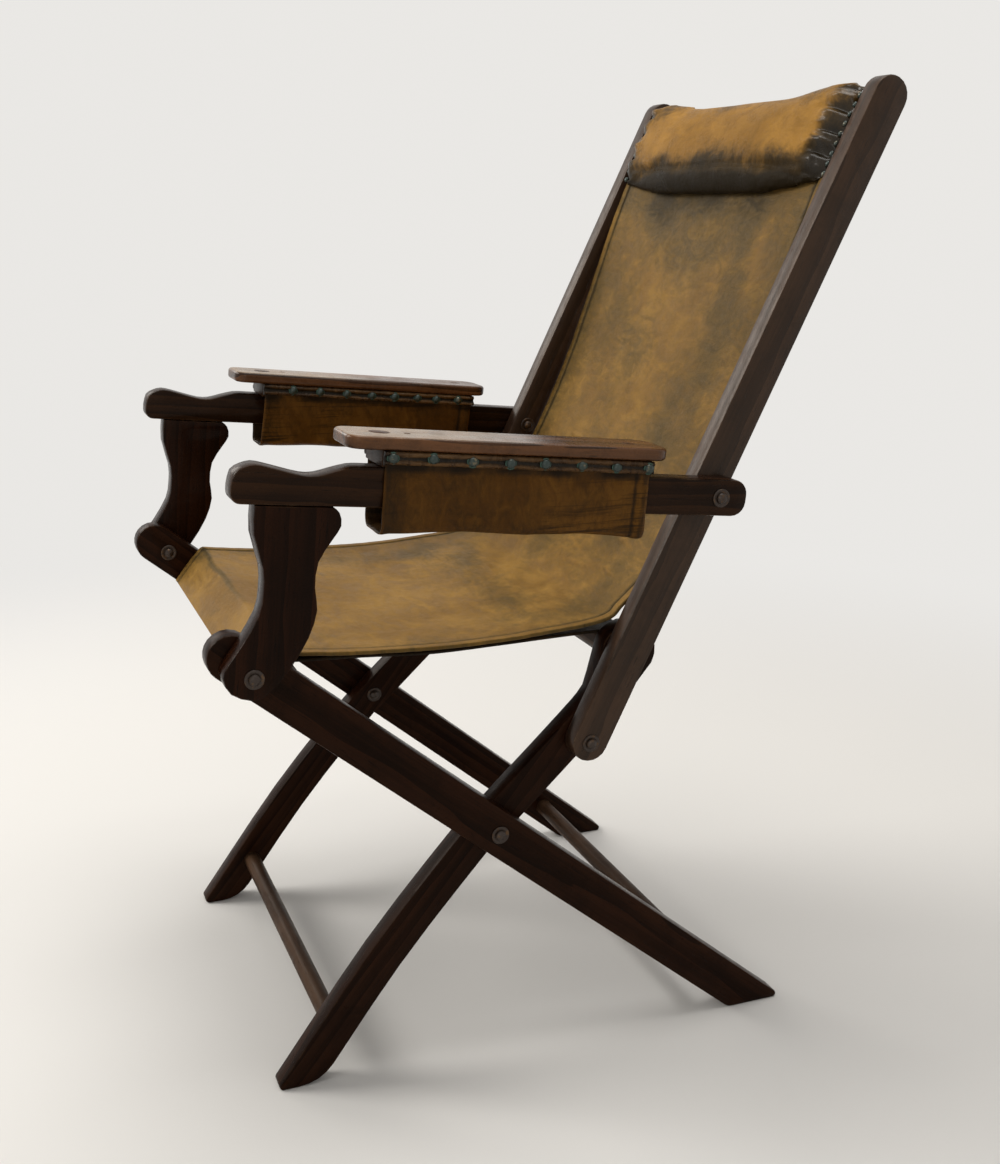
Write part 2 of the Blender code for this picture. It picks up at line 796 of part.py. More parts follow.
def back_sling_path():
    """Up behind the head rail, over it and down in a long hollow between the stiles."""
    away = head_rail_thick / 2 + fit_gap + sling_leather / 2
    top = head_rail_up_stile + head_rail_tall / 2 + fit_gap + sling_leather / 2
    wrap = rounded((
        (stile_point(top - sling_back_turn, away), 0),
        (stile_point(top, away), sling_wrap_radius),
        (stile_point(top, -away), sling_wrap_radius),
        (stile_point(head_rail_up_stile - head_rail_tall / 2, -away), 0),
    ), closed=False)
    hollow = [wrap[-1]]
    hollow += [stile_point(up * stile_length, dip * stile_width) for up, dip in back_sag_shares]
    end = stile_point(back_sling_end_share * stile_length, -back_sling_end_ahead_share * stile_width)
    return wrap[:-1] + smooth([*hollow, end])


def seat_sling_path(back_path):
    """From the end of the back sling, sagging to the front rail, over it and down its front."""
    travel = (back_path[-1] - back_path[-2]).normalized()
    start = back_path[-1] + travel * fit_gap
    straight = start + travel * sling_leather
    bend = back_pivot + Vector((seat_bend_behind, seat_bend_rise))
    rail = seat_rail_place
    away = seat_rail_thick / 2 + fit_gap + sling_leather / 2
    stacked = 2 * (fit_gap + sling_leather) - sling_leather / 2
    crest = rail - down_leg * away + above_leg * (seat_rail_tall / 2 + stacked)
    low = rail - down_leg * away - above_leg * (seat_rail_tall / 2)
    run = crest - bend
    sagging = [bend + run * along + left_of(run) * dip for along, dip in seat_sag_shares]
    path = [start, *smooth([straight, bend, *sagging])]
    return path + rounded((
        (path[-1], 0), (crest, sling_wrap_radius), (low, 0),
    ), closed=False)[1:]


def lower_ply_path():
    """From under the rear rail round its back, then forward below the seat to the front rail."""
    radius = rear_rail_radius + fit_gap + sling_leather / 2
    rail_top = seat_rail_place + above_leg * (seat_rail_tall / 2 + fit_gap + sling_leather / 2)
    landing = rail_top + down_leg * (seat_rail_thick / 2)
    end = rail_top - down_leg * (seat_rail_thick / 2 - edge_round)
    leave = inner_head + Vector((0, radius))
    run = landing - leave
    wrap = []
    steps = math.ceil(lower_ply_wrap / arc_step)
    for step in range(steps):
        angle = lower_ply_wrap * (1 - step / steps)
        wrap.append(inner_head + Vector((math.sin(angle), math.cos(angle))) * radius)
    sagging = []
    for index, drop in enumerate(lower_ply_drop_shares):
        along = (index + 1) / (len(lower_ply_drop_shares) + 1)
        sagging.append(leave + run * along + Vector((0, -drop * inner_leg_width)))
    return wrap + smooth([leave, *sagging, landing]) + [end]


def build_slings():
    """The leather slings of the back and the seat, and the ply below the seat."""
    half_width = outer_leg_face - sling_side_gap
    back_path = back_sling_path()
    sheet("back_sling", back_path, back_pivot, half_width, sling_leather, "back", tan_leather)
    seat_path = seat_sling_path(back_path)
    sheet("seat_sling", seat_path, crossing, half_width, sling_leather, "outer_frame", tan_leather)
    lower_path = lower_ply_path()
    lower_half = inner_leg_face - lower_ply_side_gap
    sheet(
        "seat_sling_lower", lower_path, crossing, lower_half, sling_leather, "outer_frame",
        dark_leather,
    )


def build_headrest():
    """A stuffed roll before the head rail: a coarse cage of sections, softened."""
    reach = outer_leg_face - cushion_end_gap
    high = stile_length - cushion_down_from_top
    mesh = bpy.data.meshes.new("headrest_cushion")
    cage = bmesh.new()
    rings = []
    right_half = [(-x, *rest) for x, *rest in reversed(cushion_station_shares[1:])]
    stations = [*right_half, *cushion_station_shares]
    for x_share, bulge_share, lift_share in stations:
        ring = []
        for up, ahead in cushion_section_shares:
            tall = cushion_height * (1 - lift_share)
            height = high - tall * (1 - up)
            depth = cushion_back_ahead + ahead * bulge_share * cushion_bulge
            point = stile_point(height, -depth) - back_pivot
            ring.append(cage.verts.new((x_share * reach, point.x, point.y)))
        rings.append(ring)
    count = len(cushion_section_shares)
    for ring, following in zip(rings, rings[1:]):
        for index in range(count):
            after = (index + 1) % count
            cage.faces.new((ring[index], ring[after], following[after], following[index]))
    ends = [cage.faces.new(rings[0]), cage.faces.new(list(reversed(rings[-1])))]
    bmesh.ops.recalc_face_normals(cage, faces=cage.faces)
    crease = cage.edges.layers.float.new("crease_edge")
    for face in ends:
        for edge in face.edges:
            edge[crease] = 1
    cage.to_mesh(mesh)
    cage.free()
    cushion = bpy.data.objects.new("headrest_cushion", mesh)
    soften = cushion.modifiers.new("Soft", "SUBSURF")
    soften.levels = 2
    soften.render_levels = 2
    place(cushion, Matrix.Translation(world(back_pivot)), "back", tan_leather)


def build_fasteners():
    """Bolts and washers of the four pivots; the arm joint's bolt is in two halves."""
    for word, side in sides:
        arm = word + "_arm"
        pivots = (
            ("arm_foot", arm_foot, outer_leg_face, arm_outside, arm, arm, "outer_frame"),
            ("crossing", crossing, inner_leg_face, outer_leg_outside,
             "outer_frame", "outer_frame", "inner_frame"),
            ("back_pivot", back_pivot, inner_leg_face, stile_outside, "back", "back", "inner_frame"),
            ("arm_joint", arm_joint, outer_leg_face, arm_outside, None, arm, "back"),
        )
        for name, point, inner, outer, bolt_body, outer_body, inner_body in pivots:
            washer("%s_washer_outer_%s" % (name, word), point, side, outer, 1, outer_body)
            washer("%s_washer_inner_%s" % (name, word), point, side, inner, -1, inner_body)
            if bolt_body:
                bolt("%s_bolt_%s" % (name, word), point, side, inner, outer, bolt_body,
                     ("inner", "outer"))
        bolt("arm_joint_bolt_outer_" + word, arm_joint, side, arm_face, arm_outside, arm, ("outer",))
        bolt("arm_joint_bolt_inner_" + word, arm_joint, side, outer_leg_face, stile_outside, "back",
             ("inner",))


def build_chair():
    for name, pivot in (
        ("outer_frame", crossing), ("inner_frame", crossing), ("back", back_pivot),
        ("left_arm", arm_foot), ("right_arm", arm_foot),
    ):
        add_body(name, pivot)
    bpy.context.view_layer.update()
    bore_length = 2 * (arm_outside + overrun)
    bores = {
        name: round_cutter(name + "_bore", point, bolt_radius + fit_gap, bore_length)
        for name, point in (
            ("arm_foot", arm_foot), ("crossing", crossing),
            ("back_pivot", back_pivot), ("arm_joint", arm_joint),
        )
    }
    build_frames(bores)
    build_back(bores)
    for word, side in sides:
        build_arm(word, side, bores)
        build_arm_box(word, side)
    build_slings()
    build_headrest()
    build_fasteners()


clear_scene()
parts_collection, cutters_collection = make_collections()
build_chair()
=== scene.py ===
"""Looks of the folding steamer chair: leather sling, stuffed headrest, arm boxes, finishes and light.

The side view is drawn with y running to the back and z up, its zero under the crossing of the legs.
All lengths are in metres.
"""

import math
import random

import bmesh
import bpy
from mathutils import Matrix, Vector, noise

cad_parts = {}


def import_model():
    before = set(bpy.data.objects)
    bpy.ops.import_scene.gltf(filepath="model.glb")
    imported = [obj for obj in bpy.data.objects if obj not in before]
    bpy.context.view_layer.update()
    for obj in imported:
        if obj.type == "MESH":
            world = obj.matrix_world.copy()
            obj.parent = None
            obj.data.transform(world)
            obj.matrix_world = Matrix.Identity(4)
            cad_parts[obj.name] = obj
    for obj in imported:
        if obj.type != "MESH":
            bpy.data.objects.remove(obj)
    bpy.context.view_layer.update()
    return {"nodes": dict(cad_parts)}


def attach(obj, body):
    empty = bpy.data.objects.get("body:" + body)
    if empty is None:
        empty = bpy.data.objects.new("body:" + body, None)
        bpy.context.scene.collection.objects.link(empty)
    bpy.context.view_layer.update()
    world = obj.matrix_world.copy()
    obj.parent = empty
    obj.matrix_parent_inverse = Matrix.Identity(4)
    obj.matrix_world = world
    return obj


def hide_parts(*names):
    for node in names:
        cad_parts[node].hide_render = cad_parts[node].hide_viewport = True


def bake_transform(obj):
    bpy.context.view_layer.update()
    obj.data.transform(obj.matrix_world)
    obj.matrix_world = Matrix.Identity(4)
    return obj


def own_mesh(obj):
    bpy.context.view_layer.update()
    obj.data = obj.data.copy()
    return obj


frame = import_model()
nodes = frame["nodes"]

# Places repeated from the part
centre_shift = -0.06654
crossing = Vector((0, 0.2555))
arm_foot = Vector((-0.2465, 0.4565))
front_foot = Vector((-0.205, 0))
back_pivot = Vector((0.0975, 0.34))
back_lean = math.radians(25.4)
arm_slope = math.radians(5.1)
up_stile = Vector((math.sin(back_lean), math.cos(back_lean)))
behind_stile = Vector((math.cos(back_lean), -math.sin(back_lean)))
arm_joint = back_pivot + up_stile * 0.277
arm_back = Vector((math.cos(arm_slope), -math.sin(arm_slope)))
arm_up = Vector((math.sin(arm_slope), math.cos(arm_slope)))
down_leg = (crossing - arm_foot).normalized()
above_leg = Vector((-down_leg.y, down_leg.x))
inner_head = back_pivot + Vector((0.0505, 0.084))
seat_rail = arm_foot + down_leg * 0.0385
stile_length = 0.718
stile_width = 0.039
head_rail_up = 0.668
head_rail_tall, head_rail_thick = 0.04, 0.018
seat_rail_tall, seat_rail_thick = 0.044, 0.018
rear_rail_radius = 0.0165

inner_leg_face = 0.1955
outer_leg_face = 0.2195
stile_outside = 0.2415
outer_leg_outside = 0.2425
arm_face = 0.2435
arm_outside = 0.2685

fit_gap = 0.0003
sling_thick = 0.003
sling_half = outer_leg_face - 0.003
wrap_radius = 0.0015 + fit_gap + sling_thick / 2
wrap_tail = 0.03
back_sag_shares = (
    (0.835, -0.28), (0.742, -0.14), (0.632, 0.09), (0.538, 0.256), (0.442, 0.346),
    (0.35, 0.29), (0.262, 0.01), (0.196, -0.45),
)
seat_sag_shares = (
    (0.08, 0.017), (0.21, 0.0265), (0.34, 0.034), (0.53, 0.036), (0.8, 0.024), (0.95, 0.008),
)
lower_drop_shares = (0.047, 0.113, 0.155, 0.063)
lower_drop = 0.038

under_batten = 0.0183
batten_height = 0.0155
batten_width = 0.051
batten_length = 0.268
batten_top = under_batten + batten_height - fit_gap
batten_front = (-0.13 - arm_joint.x) / arm_back.x
batten_rear = batten_front + batten_length
board_thick = 0.012
board_length = 0.318
board_width = 0.063
board_rear = batten_rear + 0.017
board_front = board_rear - board_length
board_outer = arm_outside + 0.006
board_low = under_batten + batten_height + fit_gap
sleeve_thick = 0.002
sleeve_low = -0.0385
sleeve_inset = 0.003
inner_stain = 0.7
strip_height = 0.012
strip_up = batten_top - strip_height / 2

sides = (("left", 1), ("right", -1))
arc_step = math.radians(9)
full_turn = 2 * math.pi
random.seed(7)


# Side view and paths

def world(point, x=0.0):
    """A point of the side view, at x across the chair, in the chair's frame."""
    return Vector((x, point.x + centre_shift, point.y))


def toward(direction):
    """A direction of the side view, in the chair's frame."""
    return world(direction) - world(Vector((0, 0)))


def stile_point(up, behind):
    return back_pivot + up_stile * up + behind_stile * behind


def arm_point(back, up):
    return arm_joint + arm_back * back + arm_up * up


def left_of(direction):
    return Vector((-direction.y, direction.x))


def turns(count):
    """Angles at even spacing once round."""
    return [full_turn * turn / count for turn in range(count)]


def evenly(start, end, count):
    """Numbers at even spacing, from start to end and with both."""
    return [start + (end - start) * step / count for step in range(count + 1)]


def rounded(corners):
    """A run of straight pieces whose inner corners are rounded off."""
    points = [corners[0][0].copy()]
    for (before, _), (corner, radius), (after, _) in zip(corners, corners[1:], corners[2:]):
        if radius == 0:
            points.append(corner.copy())
            continue
        to_before = (before - corner).normalized()
        to_after = (after - corner).normalized()
        half = to_before.angle(to_after) / 2
        centre = corner + (to_before + to_after).normalized() * (radius / math.sin(half))
        start = corner + to_before * (radius / math.tan(half)) - centre
        turn = math.pi - 2 * half
        if to_before.x * to_after.y - to_before.y * to_after.x > 0:
            turn = -turn
        steps = max(1, math.ceil(abs(turn) / arc_step))
        for step in range(steps + 1):
            spun = start.copy()
            spun.rotate(Matrix.Rotation(turn * step / steps, 2))
            points.append(centre + spun)
    points.append(corners[-1][0].copy())
    return points


def smooth(points, per_span=8):
    """Points along a smooth curve that runs through the given points."""
    ends = [points[0] * 2 - points[1], *points, points[-1] * 2 - points[-2]]
    curve = []
    for before, start, end, after in zip(ends, ends[1:], ends[2:], ends[3:]):
        for step in range(per_span):
            t = step / per_span
            curve.append((
                start * 2 + (end - before) * t
                + (before * 2 - start * 5 + end * 4 - after) * t ** 2
                + (start * 3 - before - end * 3 + after) * t ** 3
            ) / 2)
    curve.append(points[-1])
    return curve


def length_of(path):
    return sum((end - start).length for start, end in zip(path, path[1:]))


def spaced(path, spacing):
    """The same path with points at even spacing, keeping both ends."""
    lengths = [0.0]
    for start, end in zip(path, path[1:]):
        lengths.append(lengths[-1] + (end - start).length)
    even, index = [], 0
    for target in evenly(0.0, lengths[-1], max(1, round(lengths[-1] / spacing))):
        while index < len(path) - 2 and lengths[index + 1] < target:
            index += 1
        span = lengths[index + 1] - lengths[index]
        share = (target - lengths[index]) / span if span else 0.0
        even.append(path[index].lerp(path[index + 1], min(1.0, share)))
    return even


def travels(path):
    """The direction of travel at each point of a path."""
    ahead = [*path[1:], path[-1]]
    behind = [path[0], *path[:-1]]
    return [(after - before).normalized() for before, after in zip(behind, ahead)]


def fade(value, start, end):
    """0 at start and 1 at end, eased between them."""
    share = min(1.0, max(0.0, (value - start) / (end - start)))
    return share * share * (3 - 2 * share)


def bump(value, centre, reach):
    """1 at the centre, falling to 0 at its reach on both sides."""
    return 1 - fade(abs(value - centre), 0, reach)


def waver(x, y, z=0.0):
    return noise.noise(Vector((x, y, z)))


# Meshes

def finished(name, mesh, material):
    """An object for a finished mesh, which already lies in its place."""
    thing = bpy.data.objects.new(name, mesh)
    bpy.context.scene.collection.objects.link(thing)
    thing.data.materials.clear()
    thing.data.materials.append(material)
    for polygon in mesh.polygons:
        polygon.use_smooth = True
    return thing


def lofted(name, rings, material, maps=None, closed=False):
    """A closed body through rings of points; maps gives each point its pattern place (u, v)."""
    mesh = bpy.data.meshes.new(name)
    shape = bmesh.new()
    laid = [[shape.verts.new(point) for point in ring] for ring in rings]
    count = len(rings[0])
    pairs = list(zip(laid, laid[1:]))
    if closed:
        pairs.append((laid[-1], laid[0]))
    for ring, following in pairs:
        for index in range(count):
            after = (index + 1) % count
            shape.faces.new((ring[index], ring[after], following[after], following[index]))
    if not closed:
        shape.faces.new(laid[0])
        shape.faces.new(list(reversed(laid[-1])))
    bmesh.ops.recalc_face_normals(shape, faces=shape.faces)
    if maps:
        places = {}
        for ring, row in zip(laid, maps):
            places.update(zip(ring, row))
        layer = shape.loops.layers.uv.new("pattern")
        for face in shape.faces:
            for loop in face.loops:
                loop[layer].uv = places[loop.vert]
    shape.to_mesh(mesh)
    shape.free()
    thing = finished(name, mesh, material)
    if not closed:
        for cap in mesh.polygons[-2:]:
            cap.use_smooth = False
    return thing


def shown_mesh(thing):
    """What the modifiers make of a thing, as a plain mesh."""
    graph = bpy.context.evaluated_depsgraph_get()
    return bpy.data.meshes.new_from_object(thing.evaluated_get(graph))


def evaluated_copy(thing, name, material):
    """A plain object in place of a thing and its modifiers."""
    mesh = shown_mesh(thing)
    mesh.name = name
    bpy.data.objects.remove(thing)
    return finished(name, mesh, material)


def set_values(thing, name, values):
    """A number at each point, which the thing's material reads by name."""
    thing.data.attributes.new(name, "FLOAT", "POINT").data.foreach_set("value", values)


def stand_in(thing, node, body):
    """Let a thing be seen for a node's solid, on its body."""
    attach(thing, body)
    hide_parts(node)


# Materials

def new_material(name):
    material = bpy.data.materials.new(name)
    material.use_nodes = True
    tree = material.node_tree
    return material, tree, tree.nodes["Principled BSDF"]


def fill(tree, socket, value):
    """Give a socket a plain value, or wire another node's output to it."""
    if isinstance(value, bpy.types.NodeSocket):
        tree.links.new(value, socket)
    elif value is not None:
        socket.default_value = value


def fill_all(tree, node, **inputs):
    """Fill a node's inputs by name, with _ for a space."""
    for key, value in inputs.items():
        fill(tree, node.inputs[key.replace("_", " ")], value)


def add(tree, kind, settings=None, **inputs):
    """A node with its settings and inputs."""
    node = tree.nodes.new(kind)
    for key, value in (settings or {}).items():
        setattr(node, key, value)
    fill_all(tree, node, **inputs)
    return node


def maths(tree, operation, *values, clamp=False):
    node = tree.nodes.new("ShaderNodeMath")
    node.operation = operation
    node.use_clamp = clamp
    for socket, value in zip(node.inputs, values):
        fill(tree, socket, value)
    return node.outputs[0]


def times(tree, first, second):
    return maths(tree, "MULTIPLY", first, second)


def plus(tree, first, second):
    return maths(tree, "ADD", first, second)


def spread(tree, value, low, high, to_low=0.0, to_high=1.0):
    """Stretch a value from one range to another, held at its ends."""
    return add(
        tree, "ShaderNodeMapRange", {"interpolation_type": "SMOOTHSTEP"}, Value=value,
        From_Min=low, From_Max=high, To_Min=to_low, To_Max=to_high,
    ).outputs["Result"]


def blend_colour(tree, share, first, second):
    node = add(tree, "ShaderNodeMix", {"data_type": "RGBA"}, Factor=share)
    for index, value in ((6, first), (7, second)):
        fill(tree, node.inputs[index], (*value, 1) if isinstance(value, tuple) else value)
    return node.outputs[2]


def darker(colour, share):
    return tuple(part * share for part in colour)


def stretched(tree, coords, scale, turn=(0, 0, 0), shift=(0, 0, 0)):
    return add(
        tree, "ShaderNodeMapping", None, Vector=coords, Scale=scale, Rotation=turn, Location=shift
    ).outputs[0]


def cloudy(tree, coords, scale, detail=3.0, rough=0.5, warp=0.0):
    return add(
        tree, "ShaderNodeTexNoise", None, Vector=coords, Scale=scale, Detail=detail,
        Roughness=rough, Distortion=warp,
    ).outputs["Fac"]


def relief(tree, shader, height, distance, before=None):
    """Raise a shader's surface by a height, on top of the relief before."""
    node = add(
        tree, "ShaderNodeBump", None, Height=height, Distance=distance, Strength=1.0, Normal=before,
    )
    fill(tree, shader.inputs["Normal"], node.outputs[0])
    return node.outputs[0]


def worn_and_glinting_edges(tree, radius, low, high):
    """Where a piece's edges are, found from how its normal would turn if the edge were rounder."""
    soft = add(tree, "ShaderNodeBevel", {"samples": 6}, Radius=radius).outputs[0]
    true = add(tree, "ShaderNodeNewGeometry").outputs["Normal"]
    facing = tree.nodes.new("ShaderNodeVectorMath")
    facing.operation = "DOT_PRODUCT"
    fill(tree, facing.inputs[0], soft)
    fill(tree, facing.inputs[1], true)
    return spread(tree, facing.outputs["Value"], high, low)


def wood(name, turn, shift, dark, light, rub_and_glint, gloss, figure=1.0, polish=0.055, sheen_end=None):
    """Stained, polished wood; turn brings the length along y, and the last argument gives where a painted
    sheen, a lighter colour on the top faces, ends towards the back.
    """
    material, tree, shader = new_material(name)
    place = add(tree, "ShaderNodeTexCoord").outputs["Object"]
    along = stretched(tree, place, (1, 1, 1), turn, shift)
    wander = cloudy(tree, stretched(tree, along, (9, 1.6, 9)), 1.0, 2.0)
    rings = add(
        tree, "ShaderNodeTexWave",
        {"wave_type": "RINGS", "rings_direction": "Y", "wave_profile": "SAW"},
        Vector=stretched(tree, along, (1, 0.12, 1)), Scale=26.0 * figure,
        Distortion=spread(tree, wander, 0.2, 0.8, 1.5, 7.0), Detail=2.5, Detail_Scale=1.6,
    ).outputs["Fac"]
    fibres = cloudy(tree, stretched(tree, along, (420, 9, 420)), 1.0, 4.0, 0.65)
    streaks = cloudy(tree, stretched(tree, along, (70, 2.2, 70)), 1.0, 3.0, 0.6)
    pores = spread(tree, cloudy(tree, stretched(tree, along, (900, 38, 900)), 1.0, 2.0), 0.36, 0.27)
    patches = cloudy(tree, place, 7.0, 3.0, 0.55, 0.4)
    tone = plus(tree, times(tree, rings, 0.3), times(tree, streaks, 0.5))
    tone = plus(tree, tone, times(tree, fibres, 0.36))
    tone = plus(tree, tone, times(tree, patches, 0.4))
    body = blend_colour(tree, spread(tree, tone, 0.52, 1.06), dark, light)
    body = blend_colour(tree, times(tree, pores, 0.7), body, darker(dark, 0.25))
    # Edges take a lighter colour: partly rubbed wear, partly a painted glint along them.
    edge = worn_and_glinting_edges(tree, 0.0028, 0.86, 0.985)
    patchy_rub_and_glint = spread(tree, cloudy(tree, place, 46.0, 5.0, 0.7), 0.42, 0.7)
    bare_and_glint = times(tree, edge, patchy_rub_and_glint)
    body = blend_colour(tree, times(tree, bare_and_glint, 0.6), body, rub_and_glint)
    # A painted sheen: top faces are painted lighter towards the front, standing in for a reflection of the
    # lamps.
    if sheen_end:
        normal = add(tree, "ShaderNodeNewGeometry").outputs["Normal"]
        above = add(tree, "ShaderNodeSeparateXYZ", None, Vector=normal).outputs["Z"]
        reach = add(tree, "ShaderNodeSeparateXYZ", None, Vector=place).outputs["Y"]
        ragged = plus(tree, reach, times(tree, patches, 0.12))
        painted_sheen = times(tree, spread(tree, ragged, sheen_end + 0.09, sheen_end - 0.01),
                         spread(tree, above, 0.8, 0.98))
        painted_sheen = times(tree, painted_sheen, spread(tree, tone, 0.45, 0.95, 0.75, 0.45))
        body = blend_colour(tree, painted_sheen, body, (0.38, 0.265, 0.155))
    grime = spread(tree, cloudy(tree, place, 19.0, 6.0, 0.7, 0.6), 0.46, 0.74)
    body = blend_colour(tree, times(tree, grime, 0.5), body, darker(dark, 0.45))
    haze = spread(tree, cloudy(tree, place, 33.0, 6.0, 0.75), 0.3, 0.75, gloss, gloss + 0.18)
    rough = plus(tree, haze, times(tree, bare_and_glint, 0.16))
    rough = plus(tree, rough, times(tree, pores, 0.2))
    fill_all(
        tree, shader, Base_Color=body, Roughness=rough, Specular_IOR_Level=polish,
        Specular_Tint=(1.0, 0.86, 0.72, 1), Coat_Weight=0.3 * polish, Coat_Roughness=0.12,
    )
    uneven = relief(tree, shader, cloudy(tree, place, 38.0, 3.0), 0.0006)
    grain = maths(tree, "SUBTRACT", times(tree, fibres, 0.5), pores)
    relief(tree, shader, grain, 0.00022, uneven)
    return material


def leather(name, coords_name, dark, middle, light, gloss, blotch=1.0, clouds=0.85, polish=0.09,
            shine=0.0, streaks=0.0):
    """Old waxed hide: marbled clouds of dark polish, rubbed lights, fine grain and creases."""
    material, tree, shader = new_material(name)
    place = add(tree, "ShaderNodeTexCoord").outputs[coords_name]
    moved = stretched(tree, place, (1, 1, 1), (0, 0, 0), (0.3, 0.7, 0.2))
    slanted = stretched(tree, place, (1.0, 1.9, 1.0), (0, 0, 0.45))
    big = cloudy(tree, place, 6.0 * blotch, 8.0, 0.58, 0.5)
    marble = cloudy(tree, slanted, 19.0 * blotch, 9.0, 0.66, 1.2)
    fine = cloudy(tree, place, 130.0, 5.0, 0.7)
    tone = plus(tree, times(tree, big, 0.45), times(tree, marble, 0.4))
    tone = plus(tree, tone, times(tree, fine, 0.15))
    body = blend_colour(tree, spread(tree, tone, 0.41, 0.6), middle, light)
    drift = times(tree, cloudy(tree, moved, 5.0 * blotch, 9.0, 0.66, 0.9), 1.3)
    veins = times(tree, cloudy(tree, slanted, 30.0 * blotch, 9.0, 0.74, 1.8), 1.15)
    # Each point's darkness: real stains, with painted shade and painted highlights mixed in.
    stain_and_shade = add(tree, "ShaderNodeAttribute", {"attribute_name": "stain_and_shade"}).outputs["Fac"]
    shade = plus(tree, plus(tree, drift, veins), times(tree, stain_and_shade, 0.62))
    share = times(tree, spread(tree, shade, 1.04, 1.72), clouds)
    body = blend_colour(tree, share, body, dark)
    smears = spread(tree, shade, 1.6, 2.05)
    body = blend_colour(tree, times(tree, smears, 0.85), body, darker(dark, 0.3))
    if streaks:
        drawn = cloudy(tree, stretched(tree, place, (60, 7, 230)), 1.0, 5.0, 0.7, 0.6)
        patchy = spread(tree, plus(tree, big, times(tree, stain_and_shade, 0.3)), 0.42, 0.66)
        dashes = times(tree, spread(tree, drawn, 0.5, 0.62), patchy)
        body = blend_colour(tree, times(tree, dashes, streaks), body, darker(dark, 0.5))
    cells = add(
        tree, "ShaderNodeTexVoronoi", {"feature": "DISTANCE_TO_EDGE"}, Vector=place,
        Scale=1050.0, Randomness=1.0,
    ).outputs["Distance"]
    pits = spread(tree, cells, 0.0, 0.24)
    speckle = times(tree, maths(tree, "SUBTRACT", 1.0, pits), spread(tree, fine, 0.42, 0.66))
    body = blend_colour(tree, times(tree, speckle, 0.35), body, darker(dark, 0.6))
    wear = plus(tree, marble, times(tree, fine, 0.6))
    rough = spread(tree, wear, 0.55, 1.05, gloss, gloss + 0.2)
    fill_all(
        tree, shader, Base_Color=body, Roughness=rough, Specular_IOR_Level=polish,
        Specular_Tint=(1.0, 0.93, 0.82, 1), Coat_Roughness=0.2,
    )
    if shine:
        gathered = add(tree, "ShaderNodeAttribute", {"attribute_name": "gathered"}).outputs["Fac"]
        fill_all(tree, shader, Coat_Weight=times(tree, gathered, shine))
    slack = relief(tree, shader, cloudy(tree, place, 24.0, 4.0, 0.6, 0.8), 0.0012)
    crinkle = cloudy(tree, stretched(tree, place, (1, 2.3, 1)), 110.0, 4.0, 0.6, 1.5)
    wrinkled = relief(tree, shader, crinkle, 0.0004, slack)
    if streaks:
        wrinkled = relief(tree, shader, drawn, 0.0005, wrinkled)
    relief(tree, shader, pits, 0.00009, wrinkled)
    return material


def metal(name, base, patina, roughness, share):
    """Old metal under a patina that is thicker in some places."""
    material, tree, shader = new_material(name)
    place = add(tree, "ShaderNodeTexCoord").outputs["Object"]
    spots = cloudy(tree, place, 260.0, 5.0, 0.7, 0.5)
    film = cloudy(tree, place, 95.0, 3.0, 0.6)
    mottle = plus(tree, times(tree, spots, 0.5), times(tree, film, 0.5))
    crust = spread(tree, mottle, 0.62 - 0.3 * share, 0.72 - 0.3 * share)
    fill_all(
        tree, shader, Base_Color=blend_colour(tree, crust, base, patina),
        Metallic=maths(tree, "SUBTRACT", 1.0, times(tree, crust, 0.75)),
        Roughness=spread(tree, spots, 0.3, 0.75, roughness, roughness + 0.28),
    )
    dents = relief(tree, shader, film, 0.0004)
    relief(tree, shader, spots, 0.00012, dents)
    return material


def side_turn(direction):
    """The turn about x that brings a direction of the side view along y."""
    return (-math.atan2(direction.y, direction.x), 0, 0)


walnut_dark, walnut_light = (0.0062, 0.0019, 0.0007), (0.026, 0.0088, 0.0036)
stile_dark, stile_light = (0.016, 0.0072, 0.0038), (0.05, 0.025, 0.0135)
# A lighter colour for edges: rubbed wear together with a painted glint.
rubbed_and_glint = (0.115, 0.064, 0.03)
shin = (crossing - front_foot).normalized()
across_turn = (0, 0, math.radians(90))
leg_wood = wood(
    "outer_leg_wood", side_turn(down_leg), (0.3, 0.1, 0.02), walnut_dark, walnut_light, rubbed_and_glint, 0.26,
)
inner_wood = wood(
    "inner_leg_wood", side_turn(shin), (0.1, 0.4, 0.3), walnut_dark, walnut_light, rubbed_and_glint, 0.27,
)
stile_wood = wood(
    "stile_wood", side_turn(up_stile), (0.7, 0.2, 0.5), stile_dark, stile_light, (0.26, 0.17, 0.1),
    0.3, 1.0, 0.24,
)
arm_wood = wood(
    "arm_rail_wood", side_turn(arm_back), (0.2, 0.6, 0.1), (0.007, 0.0022, 0.0008),
    (0.03, 0.0115, 0.004), (0.2, 0.12, 0.06), 0.22, 1.0, 0.09,
)
post_wood = wood(
    "arm_post_wood", side_turn(arm_up), (0.9, 0.3, 0.4), (0.0055, 0.0015, 0.0005),
    (0.021, 0.0062, 0.0022), rubbed_and_glint, 0.17, 1.0, 0.065,
)
cross_wood = wood(
    "cross_rail_wood", across_turn, (0.5, 0.1, 0.6), (0.022, 0.011, 0.006), (0.075, 0.04, 0.022),
    (0.19, 0.12, 0.07), 0.34,
)
